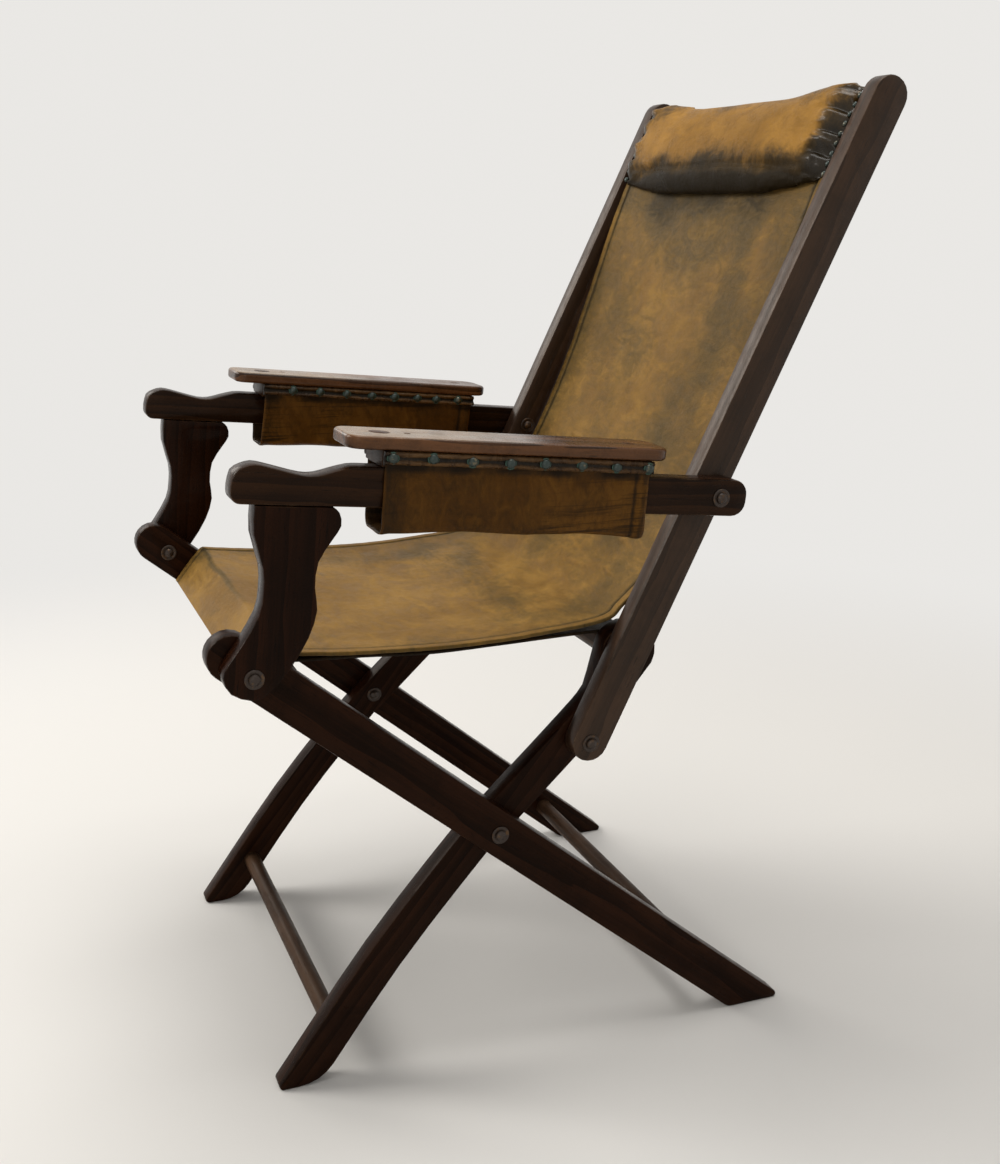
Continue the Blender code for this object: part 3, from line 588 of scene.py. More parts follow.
# The board's last argument sets where the painted sheen on its top ends.
board_wood = wood(
    "arm_board_wood", side_turn(arm_back), (0.15, 0.33, 0.05), (0.02, 0.0065, 0.0022),
    (0.14, 0.056, 0.02), (0.12, 0.055, 0.022), 0.2, 0.8, 0.25, -0.065,
)
plug_wood = wood(
    "plug_wood", (math.radians(90), 0, 0), (0.4, 0.2, 0.9), (0.02, 0.007, 0.003),
    (0.08, 0.032, 0.014), (0.2, 0.12, 0.07), 0.26, 2.4,
)
sling_leather = leather(
    "sling_leather", "UV", (0.088, 0.06, 0.022), (0.195, 0.104, 0.024), (0.315, 0.177, 0.043), 0.36,
    1.0, 0.85, 0.07,
)
headrest_leather = leather(
    "headrest_leather", "Object", (0.027, 0.017, 0.005), (0.235, 0.118, 0.022),
    (0.36, 0.185, 0.038), 0.24, 1.2, 0.95, 0.035, 0.5,
)
sleeve_leather = leather(
    "arm_sleeve_leather", "Object", (0.02, 0.01, 0.003), (0.082, 0.032, 0.004),
    (0.15, 0.064, 0.01), 0.32, 1.5, 0.85, 0.09, 0.0, 0.8,
)
strip_leather = leather(
    "binding_leather", "Object", (0.008, 0.004, 0.0015), (0.03, 0.0125, 0.0035),
    (0.12, 0.06, 0.02), 0.2, 2.2, 0.95, 0.2,
)
under_leather = leather(
    "lower_ply_leather", "UV", (0.01, 0.007, 0.005), (0.028, 0.017, 0.009), (0.06, 0.038, 0.019), 0.5,
)
bronzed = metal("bronzed_steel", (0.095, 0.058, 0.034), (0.026, 0.0145, 0.0085), 0.3, 0.75)
verdigris = metal("verdigris_brass", (0.14, 0.12, 0.08), (0.02, 0.034, 0.028), 0.22, 0.85)
green_crust = metal("green_crust", (0.05, 0.075, 0.05), (0.035, 0.075, 0.055), 0.55, 1.0)


# Leather slings

def back_path():
    """From in front of the head rail over it, then down its back and on to the seat's rear."""
    away = head_rail_thick / 2 + fit_gap + sling_thick / 2
    top = head_rail_up + head_rail_tall / 2 + fit_gap + sling_thick / 2
    wrap = rounded((
        (stile_point(top - wrap_tail, away), 0),
        (stile_point(top, away), wrap_radius),
        (stile_point(top, -away), wrap_radius),
        (stile_point(head_rail_up - head_rail_tall / 2, -away), 0),
    ))
    hollow = [stile_point(up * stile_length, dip * stile_width) for up, dip in back_sag_shares]
    return wrap[:-1] + smooth([wrap[-1], *hollow])


def seat_path(after):
    """From the end of the back's leather, sagging to the front rail, over it and down its front."""
    travel = (after[-1] - after[-2]).normalized()
    start = after[-1] + travel * fit_gap
    straight = start + travel * sling_thick
    bend = back_pivot + Vector((0.0305, 0.122))
    away = seat_rail_thick / 2 + fit_gap + sling_thick / 2
    stacked = 2 * (fit_gap + sling_thick) - sling_thick / 2
    crest = seat_rail - down_leg * away + above_leg * (seat_rail_tall / 2 + stacked)
    low = seat_rail - down_leg * away - above_leg * (seat_rail_tall / 2)
    run = crest - bend
    sagging = [bend + run * along + left_of(run) * dip for along, dip in seat_sag_shares]
    path = [start, *smooth([straight, bend, *sagging])]
    return path + rounded(((path[-1], 0), (crest, wrap_radius), (low, 0)))[1:]


def lower_path():
    """From under the rear rail round its back, then forward below the seat to the front rail."""
    radius = rear_rail_radius + fit_gap + sling_thick / 2
    rail_top = seat_rail + above_leg * (seat_rail_tall / 2 + fit_gap + sling_thick / 2)
    landing = rail_top + down_leg * (seat_rail_thick / 2)
    end = rail_top - down_leg * (seat_rail_thick / 2 - 0.002)
    leave = inner_head + Vector((0, radius))
    run = landing - leave
    wrap_angle = math.radians(185)
    wrap = []
    for step in range(24):
        angle = wrap_angle * (1 - step / 24)
        wrap.append(inner_head + Vector((math.sin(angle), math.cos(angle))) * radius)
    sagging = []
    for index, drop in enumerate(lower_drop_shares):
        along = (index + 1) / (len(lower_drop_shares) + 1)
        sagging.append(leave + run * along + Vector((0, -drop * lower_drop)))
    return wrap + smooth([leave, *sagging, landing]) + [end]


hem_width = 0.0115
hem_rise = 0.0007
groove_depth = 0.0007
edge_insets = (0.0013, 0.0028, 0.0055, 0.0085)
groove_steps = (-0.0017, -0.001, -0.0003, 0.0003, 0.0008, 0.0014, 0.0022)


def hem_height(inset):
    """How far the folded hem stands up, and the groove beside it, at an inset from the edge."""
    raised = hem_rise * fade(inset, hem_width - 0.0003, hem_width - 0.0018)
    return raised - groove_depth * bump(inset, hem_width + 0.0006, 0.0016)


def band_section(half, thick, hemmed, pitch=0.004):
    """Round a leather band's section: (x, height, side), the sitter's side first."""
    insets = [*edge_insets, *(hem_width + step for step in groove_steps)]
    inner = half - insets[-1]
    count = round(2 * inner / pitch)
    xs = [-half + inset for inset in insets]
    xs += [-inner + 2 * inner * step / count for step in range(1, count)]
    xs += [half - inset for inset in reversed(insets)]
    section = []
    for x in xs:
        rise = hem_height(half - abs(x)) if hemmed else 0.0
        section.append((x, thick / 2 + rise, 1))
    rim = thick / 2 + (hem_rise if hemmed else 0.0)
    section += [(half - 0.0004, rim * 0.75, 1), (half, rim * 0.2, 1), (half, -thick * 0.25, -1),
                (half - 0.0006, -thick / 2, -1)]
    under = round(2 * inner / (3 * pitch))
    section += [(inner - 2 * inner * step / under, -thick / 2, -1) for step in range(under + 1)]
    section += [(-half + 0.0006, -thick / 2, -1), (-half, -thick * 0.25, -1), (-half, rim * 0.2, 1),
                (-half + 0.0004, rim * 0.75, 1)]
    return section


def band(name, path, half, hemmed, swell, stain_and_shade, material, start_at=0.0, spacing=0.0025):
    """A leather band along a side-view path: swell lifts it, and the darkening function gives its stains
    and painted shade, both of (x, along).
    """
    section = band_section(half, sling_thick, hemmed)
    stations = spaced(path, spacing)
    # Rings close to the cut ends keep the shading of the faces from running round into them.
    stations.insert(1, stations[0].lerp(stations[1], 0.02))
    stations.insert(-1, stations[-1].lerp(stations[-2], 0.02))
    rings, maps, stains_and_shade = [], [], []
    along = start_at
    for index, (point, travel) in enumerate(zip(stations, travels(stations))):
        if index:
            along += (point - stations[index - 1]).length
        out = -left_of(travel)
        ring, row = [], []
        for x, height, side in section:
            lifted = point + out * (height + swell(x, along))
            ring.append(world(lifted, x))
            row.append((x, along))
            stains_and_shade.append(stain_and_shade(x, along) if side > 0 else stain_and_shade(x, along) * 0.6 + 0.25)
        rings.append(ring)
        maps.append(row)
    thing = lofted(name, rings, material, maps)
    set_values(thing, "stain_and_shade", stains_and_shade)
    return thing, along


back_line = back_path()
back_length = length_of(back_line)
seat_line = seat_path(back_line)
seat_length = length_of(seat_line)
lower_line = lower_path()
lower_half = inner_leg_face - 0.001
whole_length = back_length + seat_length
wrap_length = wrap_tail + head_rail_thick + head_rail_tall
front_fold = whole_length - 0.046


def creases():
    """Short wrinkles: (x, along, half length, tilt, half width, height)."""
    made = []
    groups = (
        (16, (-0.15, 0.2), (back_length - 0.17, back_length - 0.015), 0.25, 0.0014),
        (7, (-0.17, 0.19), (back_length + 0.005, back_length + 0.09), 0.3, 0.0006),
        (9, (-0.18, 0.18), (0.17, back_length - 0.18), 0.9, 0.0004),
        (8, (-0.19, 0.19), (front_fold - 0.13, front_fold - 0.01), 0.25, 0.0005),
    )
    for count, across, lengthwise, tilt, height in groups:
        for _ in range(count):
            made.append((
                random.uniform(*across), random.uniform(*lengthwise), random.uniform(0.012, 0.045),
                random.uniform(-tilt, tilt), random.uniform(0.0035, 0.006),
                height * random.uniform(0.6, 1.3),
            ))
    return made


sling_creases = creases()


def crease_height(x, along):
    """How far the wrinkles stand up at a place on the sling."""
    total = 0.0
    for centre_x, centre_along, reach, tilt, width, height in sling_creases:
        far_along = along - centre_along
        if abs(far_along) > 0.03:
            continue
        far_x = x - centre_x
        if abs(far_x) > reach * 1.3:
            continue
        run = far_x * math.cos(tilt) + far_along * math.sin(tilt)
        off = -far_x * math.sin(tilt) + far_along * math.cos(tilt)
        off += 0.004 * waver(run * 60, centre_along * 40)
        total += height * bump(run, 0, reach) * (bump(off, 0, width) - 0.6 * bump(off, width * 1.5, width))
    return total


def sling_swell(x, along):
    """The sling's hollow across, its slack waves and wrinkles; it lies flat on both rails."""
    free = fade(along, wrap_length, wrap_length + 0.07) * fade(along, front_fold + 0.004, front_fold - 0.05)
    inset = sling_half - abs(x)
    hollow = -0.0022 * (1 - (x / sling_half) ** 2)
    wave = 0.0017 * waver(x * 6.5, along * 4.6, 3) + 0.0007 * waver(x * 19, along * 15, 8)
    wave *= fade(inset, 0.0, 0.05)
    edge = 0.0011 * (0.5 + 0.5 * waver(along * 13, 4.0 if x > 0 else 9.0)) * fade(inset, 0.045, 0.0)
    pucker = 0.0004 * waver(x * 60, along * 60, 5)
    roll = 0.0009 * fade(along, front_fold, front_fold + 0.014)
    roll *= fade(along, whole_length, whole_length - 0.02)
    roll *= 0.6 + 0.4 * waver(x * 9, 2)
    return free * (hollow + wave + edge + crease_height(x, along) + pucker) + roll


def patches():
    """Dark clouds and light rubbed places: (x, along, reach x, reach along, strength)."""
    made = [
        (0.115, wrap_length + 0.2, 0.028, 0.12, 0.5), (0.0, wrap_length + 0.15, 0.06, 0.045, 0.35),
        (-0.09, wrap_length + 0.08, 0.045, 0.05, 0.2), (0.075, wrap_length + 0.33, 0.03, 0.06, 0.5),
        (-0.03, wrap_length + 0.25, 0.05, 0.03, 0.45), (0.11, wrap_length + 0.08, 0.05, 0.05, 0.35),
        (0.0, back_length + 0.075, 0.13, 0.03, 0.4), (0.1, back_length + 0.1, 0.06, 0.05, 0.4),
        (-0.1, back_length + 0.05, 0.05, 0.03, 0.45), (-0.02, back_length + 0.02, 0.12, 0.04, -0.3),
        (-0.15, back_length + 0.14, 0.035, 0.12, 0.45), (0.03, back_length + 0.2, 0.12, 0.08, -0.5),
        (0.0, wrap_length + 0.22, 0.05, 0.1, -0.35), (-0.05, front_fold - 0.04, 0.11, 0.045, -0.5),
        (0.16, back_length + 0.03, 0.03, 0.1, 0.5),
    ]
    for _ in range(22):
        made.append((
            random.uniform(-0.2, 0.2), random.uniform(wrap_length, front_fold),
            random.uniform(0.015, 0.05), random.uniform(0.015, 0.05), random.uniform(-0.35, 0.45),
        ))
    return made


sling_patches = patches()


def sling_stain_and_shade(x, along):
    """1 where the hide is darkest, below 0 where it is lightest: real stains and rubbed places, with
    painted shade and sheen.
    """
    inset = sling_half - abs(x)
    dark = 0.95 * bump(inset, hem_width + 0.0008, 0.0032)
    dark += 0.4 * fade(inset, 0.05, hem_width) * (0.5 + 0.5 * waver(along * 9, x * 5))
    dark -= 0.25 * fade(inset, hem_width - 0.001, hem_width - 0.004)
    dark += 0.8 * fade(inset, 0.0016, 0.0)
    ragged = 0.35 * waver(x * 34, along * 34, 2)
    for centre_x, centre_along, reach_x, reach_along, strength in sling_patches:
        far = math.hypot((x - centre_x) / reach_x, (along - centre_along) / reach_along)
        if far < 1.5:
            dark += strength * fade(far + ragged, 1.4, 0.1)
    # Painted shadow of the headrest on the back, just below its lower lip.
    dark += 0.3 * fade(along, wrap_length + 0.1, wrap_length + 0.06)
    # Painted shade on the back and painted light on the seat, for how the light falls on each.
    dark += 0.22 * fade(along, back_length + 0.03, back_length - 0.1)
    dark -= 0.24 * fade(along, back_length, back_length + 0.12)
    dark -= 350 * max(0.0, crease_height(x, along))
    near_crease = 0.006 * waver(x * 12, 7)
    dark += 1.1 * bump(along + near_crease, front_fold - 0.003, 0.0045) * fade(x, 0.13, -0.12)
    dark += 0.5 * bump(along, front_fold + 0.004, 0.02) * fade(x, -0.1, -0.2)
    # Painted sheen: the front roll over the rail is painted lighter.
    dark -= 0.15 * fade(along, front_fold, front_fold + 0.02)
    return dark


def lower_swell(x, along):
    """Slack waves of the lower ply, none at its edges and rails."""
    return 0.0012 * waver(x * 8, along * 7, 6) * fade(abs(x), inner_leg_face, inner_leg_face - 0.05) \
        * fade(along, 0.09, 0.13) * fade(along, 0.4, 0.36)


back_sling, reached = band(
    "back_leather", back_line, sling_half, True, sling_swell, sling_stain_and_shade, sling_leather,
)
stand_in(back_sling, "back_sling", "back")
seat_sling, _ = band(
    "seat_leather", [back_line[-1], *seat_line[1:]], sling_half, True, sling_swell, sling_stain_and_shade,
    sling_leather, reached,
)
stand_in(seat_sling, "seat_sling", "outer_frame")
# Folded, the seat's rear end has to meet the back's lower end.
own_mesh(seat_sling)
lower_ply, _ = band(
    "seat_lower_leather", lower_line, lower_half, False, lower_swell, lambda x, along: 0.3,
    under_leather, 0.0, 0.004,
)
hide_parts("seat_sling_lower")
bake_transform(lower_ply)


# Headrest

cushion_low, cushion_high = 0.588, 0.699
cushion_reach = outer_leg_face - 0.0009
cushion_stuffing = 0.0206
swelling_limit = 0.006


def headrest_shape():
    """The stuffed roll's sections from end to end, its ends drawn up towards the stile tops."""
    rings = []
    for share in evenly(-1.0, 1.0, 44):
        x = cushion_reach * math.sin(math.pi / 2 * share)
        far = abs(x) / cushion_reach
        full = 1 - 0.88 * fade(far, 0.87, 1.0) ** 1.2
        low = cushion_low + 0.013 * fade(far, 0.45, 1.0)
        high = cushion_high + 0.0085 * fade(far, 0.38, 0.8) - 0.004 * fade(far, 0.9, 1.0)
        ring = []
        for angle in turns(36):
            ahead, height = math.sin(angle), -math.cos(angle)
            depth = 0.0127 + cushion_stuffing * full * max(0.0, ahead) ** 0.72 - 0.0012 * max(0.0, -ahead)
            droop = -0.008 * full * max(0.0, ahead) * (1 - far ** 2)
            up = (low + high) / 2 + (high - low) / 2 * math.copysign(abs(height) ** 0.82, height)
            ring.append(world(stile_point(up + droop, -depth), x))
        rings.append(ring)
    return rings


def stuffed(thing):
    """Let the cushion's leather swell, held where it is nailed, and limit how far each point moves."""
    remesh = thing.modifiers.new("Even weave", "REMESH")
    remesh.mode = "VOXEL"
    remesh.voxel_size = 0.005
    even = evaluated_copy(thing, "headrest_even", headrest_leather)
    start = [vertex.co.copy() for vertex in even.data.vertices]
    held = even.vertex_groups.new(name="held")
    back_face = world(stile_point(0, -0.0135))
    rearwards = toward(behind_stile)
    for vertex in even.data.vertices:
        behind = (vertex.co - back_face).dot(rearwards)
        if behind > -0.0008 or abs(vertex.co.x) > cushion_reach - 0.012:
            held.add([vertex.index], 1.0, "REPLACE")
    cloth = even.modifiers.new("Swelling", "CLOTH")
    cloth.settings.use_pressure = True
    cloth.settings.uniform_pressure_force = 4
    cloth.settings.effector_weights.gravity = 0
    cloth.settings.vertex_group_mass = "held"
    cloth.settings.quality = 6
    cloth.point_cache.frame_start, cloth.point_cache.frame_end = 1, 20
    for step in range(1, 21):
        bpy.context.scene.frame_set(step)
    graph = bpy.context.evaluated_depsgraph_get()
    swollen = [vertex.co.copy() for vertex in even.evaluated_get(graph).data.vertices]
    even.modifiers.clear()
    bpy.context.scene.frame_set(1)
    for vertex, before, after in zip(even.data.vertices, start, swollen):
        shift = after - before
        vertex.co = before + shift * min(1.0, swelling_limit / max(shift.length, 1e-9))
    finer = even.modifiers.new("Finer", "SUBSURF")
    finer.levels = finer.render_levels = 1
    return evaluated_copy(even, "headrest", headrest_leather)


def gather(thing):
    """Pleats that run from the nailed ends into the roll, and the slack of old stuffing."""
    ahead, along = -toward(behind_stile), toward(up_stile)
    origin = world(back_pivot)
    stains_and_shade, shines = [], []
    for vertex in thing.data.vertices:
        place = vertex.co
        up = (place - origin).dot(along)
        depth = (place - origin).dot(ahead)
        far = abs(place.x) / cushion_reach
        side = 1 if place.x > 0 else -1
        front = fade(depth, 0.0135, 0.02)
        gathered = fade(far, 0.8, 0.93) * (1 - 0.5 * fade(far, 0.97, 1.0))
        share = (up - cushion_low) / (cushion_high - cushion_low)
        fan = math.sin(full_turn * (4.6 * share + 0.45 * waver(share * 3, far * 4, side * 3)) + side)
        fan += 0.4 * math.sin(full_turn * (9.7 * share + 0.5 * waver(share * 5, far * 6, side * 7)))
        pleat = 0.0034 * gathered * fan * front
        slack = 0.0015 * waver(place.x * 13, up * 16, 4) + 0.0004 * waver(place.x * 40, up * 44, 7)
        shift = pleat + slack * front * (1 - fade(far, 0.9, 1.0))
        shift -= 0.0016 * bump(share, 0.24 + 0.02 * waver(place.x * 11, 5), 0.05) * front * (1 - gathered)
        vertex.co = place + ahead * shift + along * (0.3 * pleat)
        # Painted shade darkens the roll from its middle down to the underside below the lip, and in the
        # pleats' hollows; a painted highlight lightens its upper bulge. The ends are darker, and random
        # clouds vary it.
        dark = 1.5 * fade(share, 0.2 + 0.035 * waver(place.x * 14, 3), 0.06)
        dark += 0.8 * fade(share, 0.46 + 0.22 * waver(place.x * 17, 3), 0.2)
        dark += 0.85 * fade(far, 0.82 + 0.09 * waver(up * 45, side), 0.96)
        dark += 0.45 * max(0.0, -fan) * gathered + 0.8 * waver(place.x * 16, up * 20, 11)
        dark -= 0.55 * bump(share, 0.62, 0.34) * (1 - fade(far, 0.8, 0.9))
        stains_and_shade.append(dark)
        shines.append(fade(far, 0.84, 0.93) * fade(share, 0.12, 0.25))
    set_values(thing, "stain_and_shade", stains_and_shade)
    set_values(thing, "gathered", shines)
    return thing


cushion = gather(stuffed(lofted("headrest_start", headrest_shape(), headrest_leather)))
stand_in(cushion, "headrest_cushion", "back")


# Arm boxes

def arm_world(back, up, x):
    return world(arm_point(back, up), x)


def arm_sleeve(word, side):
    """A folded piece of hide that hangs round the arm rail from the batten."""
    half = sleeve_thick / 2
    out_x = arm_outside + fit_gap + half
    in_x = arm_outside - batten_width - fit_gap - half
    fold = rounded((
        (Vector((out_x, batten_top)), 0), (Vector((out_x, sleeve_low)), 0.005),
        (Vector((in_x + 0.009, sleeve_low)), 0.006), (Vector((in_x, under_batten)), 0.006),
        (Vector((in_x, batten_top)), 0),
    ))
    fold = spaced(fold, 0.0022)
    facing = [left_of(travel) for travel in travels(fold)]
    start, end = batten_front + sleeve_inset, batten_rear - sleeve_inset
    seed = 3.0 if side > 0 else 17.0
    rings, stains_and_shade = [], []
    for back in evenly(start, end, round((end - start) / 0.0028)):
        from_front, from_rear = back - start, end - back
        from_end = min(from_front, from_rear)
        outer, inner = [], []
        for place, out in zip(fold, facing):
            free = fade(place.y, under_batten - 0.002, under_batten - 0.012)
            low = fade(place.y, 0.0, sleeve_low + 0.004)
            lift = 0.0016 * free * (0.5 + 0.5 * waver(back * 14, place.y * 26, seed))
            lift += 0.0005 * free * (0.5 + 0.5 * waver(back * 70, place.y * 190, seed))
            ends = 0.0011 * free * fade(from_front, 0.009, 0.0)
            lift += ends + 0.0008 * free * fade(from_rear, 0.012, 0.0)
            stitches = 0.0004 * bump(from_rear, 0.0135, 0.002) * free
            lift += 0.0006 * bump(from_rear, 0.006, 0.007) - stitches
            sink = low * (0.0018 * waver(back * 17, seed) - 0.001 + 0.0022 * fade(from_front, 0.07, 0.0)
                          + 0.0012 * fade(from_rear, 0.05, 0.0))
            rim = fade(from_end, 0.0, 0.0012)
            drift = 0.0012 * waver(place.y * 60, place.x * 50, seed) * fade(from_end, 0.02, 0.0)
            spot = Vector((place.x, place.y - sink)) + out * lift
            wall = half * (0.55 + 0.45 * rim)
            for line, offset in ((outer, wall), (inner, -wall)):
                point = spot + out * offset
                line.append(arm_world(back + drift, point.y, side * point.x))
            # A painted shadow along the binding strip's lower edge, patchy along the arm.
            strip_shadow = bump(place.y, batten_top - strip_height - 0.002, 0.007)
            dark = 1.5 * strip_shadow * (0.55 + 0.9 * waver(back * 30, seed))
            dark += 0.9 * bump(from_rear, 0.0135, 0.0024) - 0.35 * bump(from_rear, 0.009, 0.004)
            dark += 0.45 * fade(from_end, 0.03, 0.0) + 0.35 * waver(back * 22, place.y * 60, seed)
            dark -= 0.7 * fade(from_end, 0.0016, 0.0)
            stains_and_shade.append(dark)
        stains_and_shade += [inner_stain] * len(fold)
        rings.append([*outer, *reversed(inner)])
    thing = lofted("sleeve_leather_" + word, rings, sleeve_leather)
    set_values(thing, "stain_and_shade", stains_and_shade)
    return thing


def binding_strip(name, side, x, outward, seed, nail_alongs):
    """A doubled strip of leather under the board's edge, puckered between its nails."""
    low, high = batten_top - strip_height, batten_top
    start, end = batten_front + 0.0005, batten_rear - 0.0005
    rings, stains_and_shade = [], []
    for back in evenly(start, end, round((end - start) / 0.0022)):
        crumple = fade(min(back - start, end - back), 0.016, 0.0)
        near_nail = max(bump(back, nail, 0.011) for nail in nail_alongs)
        ring = []
        for angle in turns(44):
            out, up = math.cos(angle), math.sin(angle)
            height = (high + low) / 2 + (high - low) / 2 * math.copysign(abs(up) ** 0.6, up)
            thick = 0.0013 * math.copysign(abs(out) ** 0.7, out)
            dark = 0.6
            if out > 0:
                share = (height - low) / (high - low)
                ridge = bump(share, 0.8, 0.24) + bump(share, 0.18, 0.2)
                thick += 0.0019 * ridge * (1 - 0.35 * near_nail) - 0.0008 * bump(share, 0.5, 0.2)
                thick += 0.0009 * waver(back * 70, height * 120, seed)
                # The ridges are lighter, partly rubbed wear and partly a painted highlight; the groove
                # between them is darker, a painted shade.
                ridge_highlight_and_wear = 1.2 * ridge * (0.6 + 0.8 * waver(back * 50, height * 60, seed))
                dark = 1.3 * bump(share, 0.5, 0.24) - ridge_highlight_and_wear
                dark += 1.2 * near_nail * bump(share, 0.5, 0.45) + 0.9 * crumple
                thick += 0.0022 * crumple * waver(back * 190, height * 260, seed)
            dip = 0.0012 * waver(back * 38, seed, 2) * (1 if up < 0 else 0.3)
            ring.append(arm_world(back, height + dip, side * (x + outward * (0.0012 + thick))))
            stains_and_shade.append(dark)
        rings.append(ring)
    thing = lofted(name, rings, strip_leather)
    set_values(thing, "stain_and_shade", stains_and_shade)
    return thing


def rounded_plate(name, half_width, half_length, radii, thick, edge, material):
    """A board in its own flat frame, with rounded corners and softened edges."""
    outline = []
    for corner, ((sx, sy), radius) in enumerate(zip(((1, -1), (1, 1), (-1, 1), (-1, -1)), radii)):
        centre = Vector((sx * (half_width - radius), sy * (half_length - radius)))
        first = math.radians(-90 + 90 * corner)
        for step in range(11):
            angle = first + math.radians(90) * step / 10
            outline.append((centre, radius, Vector((math.cos(angle), math.sin(angle)))))
    bends = evenly(0.0, math.pi / 2, 8)
    levels = [(-thick / 2 + edge * (1 - math.cos(bend)), edge * (1 - math.sin(bend))) for bend in bends]
    levels += [(thick / 2 - edge + edge * math.sin(bend), edge * (1 - math.cos(bend))) for bend in bends]
    rings = [
        [Vector((*(centre + facing * (radius - inset)), height)) for centre, radius, facing in outline]
        for height, inset in levels
    ]
    return lofted(name, rings, material)


def lathe(name, profile, matrix, material, sides_round=40):
    """A turned piece: (radius, height) profile spun about its z axis, closed at both ends."""
    rings = [
        [matrix @ Vector((radius * math.cos(angle), radius * math.sin(angle), height))
         for angle in turns(sides_round)]
        for radius, height in profile
    ]
    return lofted(name, rings, material)


def arm_frame(back, up, x, side):
    """A frame on the arm: x outwards, y to the back, z square to the arm."""
    outwards = Vector((side, 0, 0))
    rearwards = toward(arm_back).normalized()
    upwards = toward(arm_up).normalized()
    matrix = Matrix((outwards, rearwards, upwards)).transposed().to_4x4()
    return Matrix.Translation(arm_world(back, up, side * x)) @ matrix


def carve(thing, cutter):
    change = thing.modifiers.new("Recess", "BOOLEAN")
    change.operation = "DIFFERENCE"
    change.solver = "EXACT"
    change.object = cutter


def arm_board(word, side):
    """The flat board on top, with the plugs and the empty screw hole in it."""
    thing = rounded_plate(
        "board_" + word, board_width / 2, board_length / 2, (0.014, 0.018, 0.018, 0.014),
        board_thick, 0.0034, board_wood,
    )
    middle = (board_front + board_rear) / 2
    matrix = arm_frame(middle, board_low + board_thick / 2, board_outer - board_width / 2, side)
    marks = (
        ("front_plug", board_front + 0.0365, 0.0, 0.0098, 0.0004, 0.0009),
        ("screw_hole", board_front + 0.062, 0.002, 0.0034, 0.0, 0.004),
        ("rear_plug", board_rear - 0.033, 0.001, 0.0068, 0.0004, 0.0007),
    )
    plugs = []
    for mark, back, aside, radius, gap, depth in marks:
        local = Matrix.Translation((aside, back - middle, board_thick / 2))
        cutter = lathe("cutter", [(radius, -depth), (radius, 0.002)], local, board_wood, 32)
        carve(thing, cutter)
        bpy.context.view_layer.update()
        mesh = shown_mesh(thing)
        thing.modifiers.clear()
        thing.data = mesh
        bpy.data.objects.remove(cutter)
        if gap:
            wide = radius - gap
            profile = [(wide - 0.0004, -depth + 0.0001), (wide, -depth + 0.0004), (wide, -0.0003),
                       (wide - 0.0004, 0.0), (0.0006, 0.0002)]
            plugs.append(lathe("%s_%s" % (mark, word), profile, matrix @ local, plug_wood, 36))
    thing.data.transform(matrix)
    # The right arm's frame is mirrored, which turns the faces inwards.
    if side < 0:
        thing.data.flip_normals()
    return thing, plugs


def socket_of(tree, name):
    return next(item.identifier for item in tree.interface.items_tree
                if item.name == name and item.in_out == "INPUT")


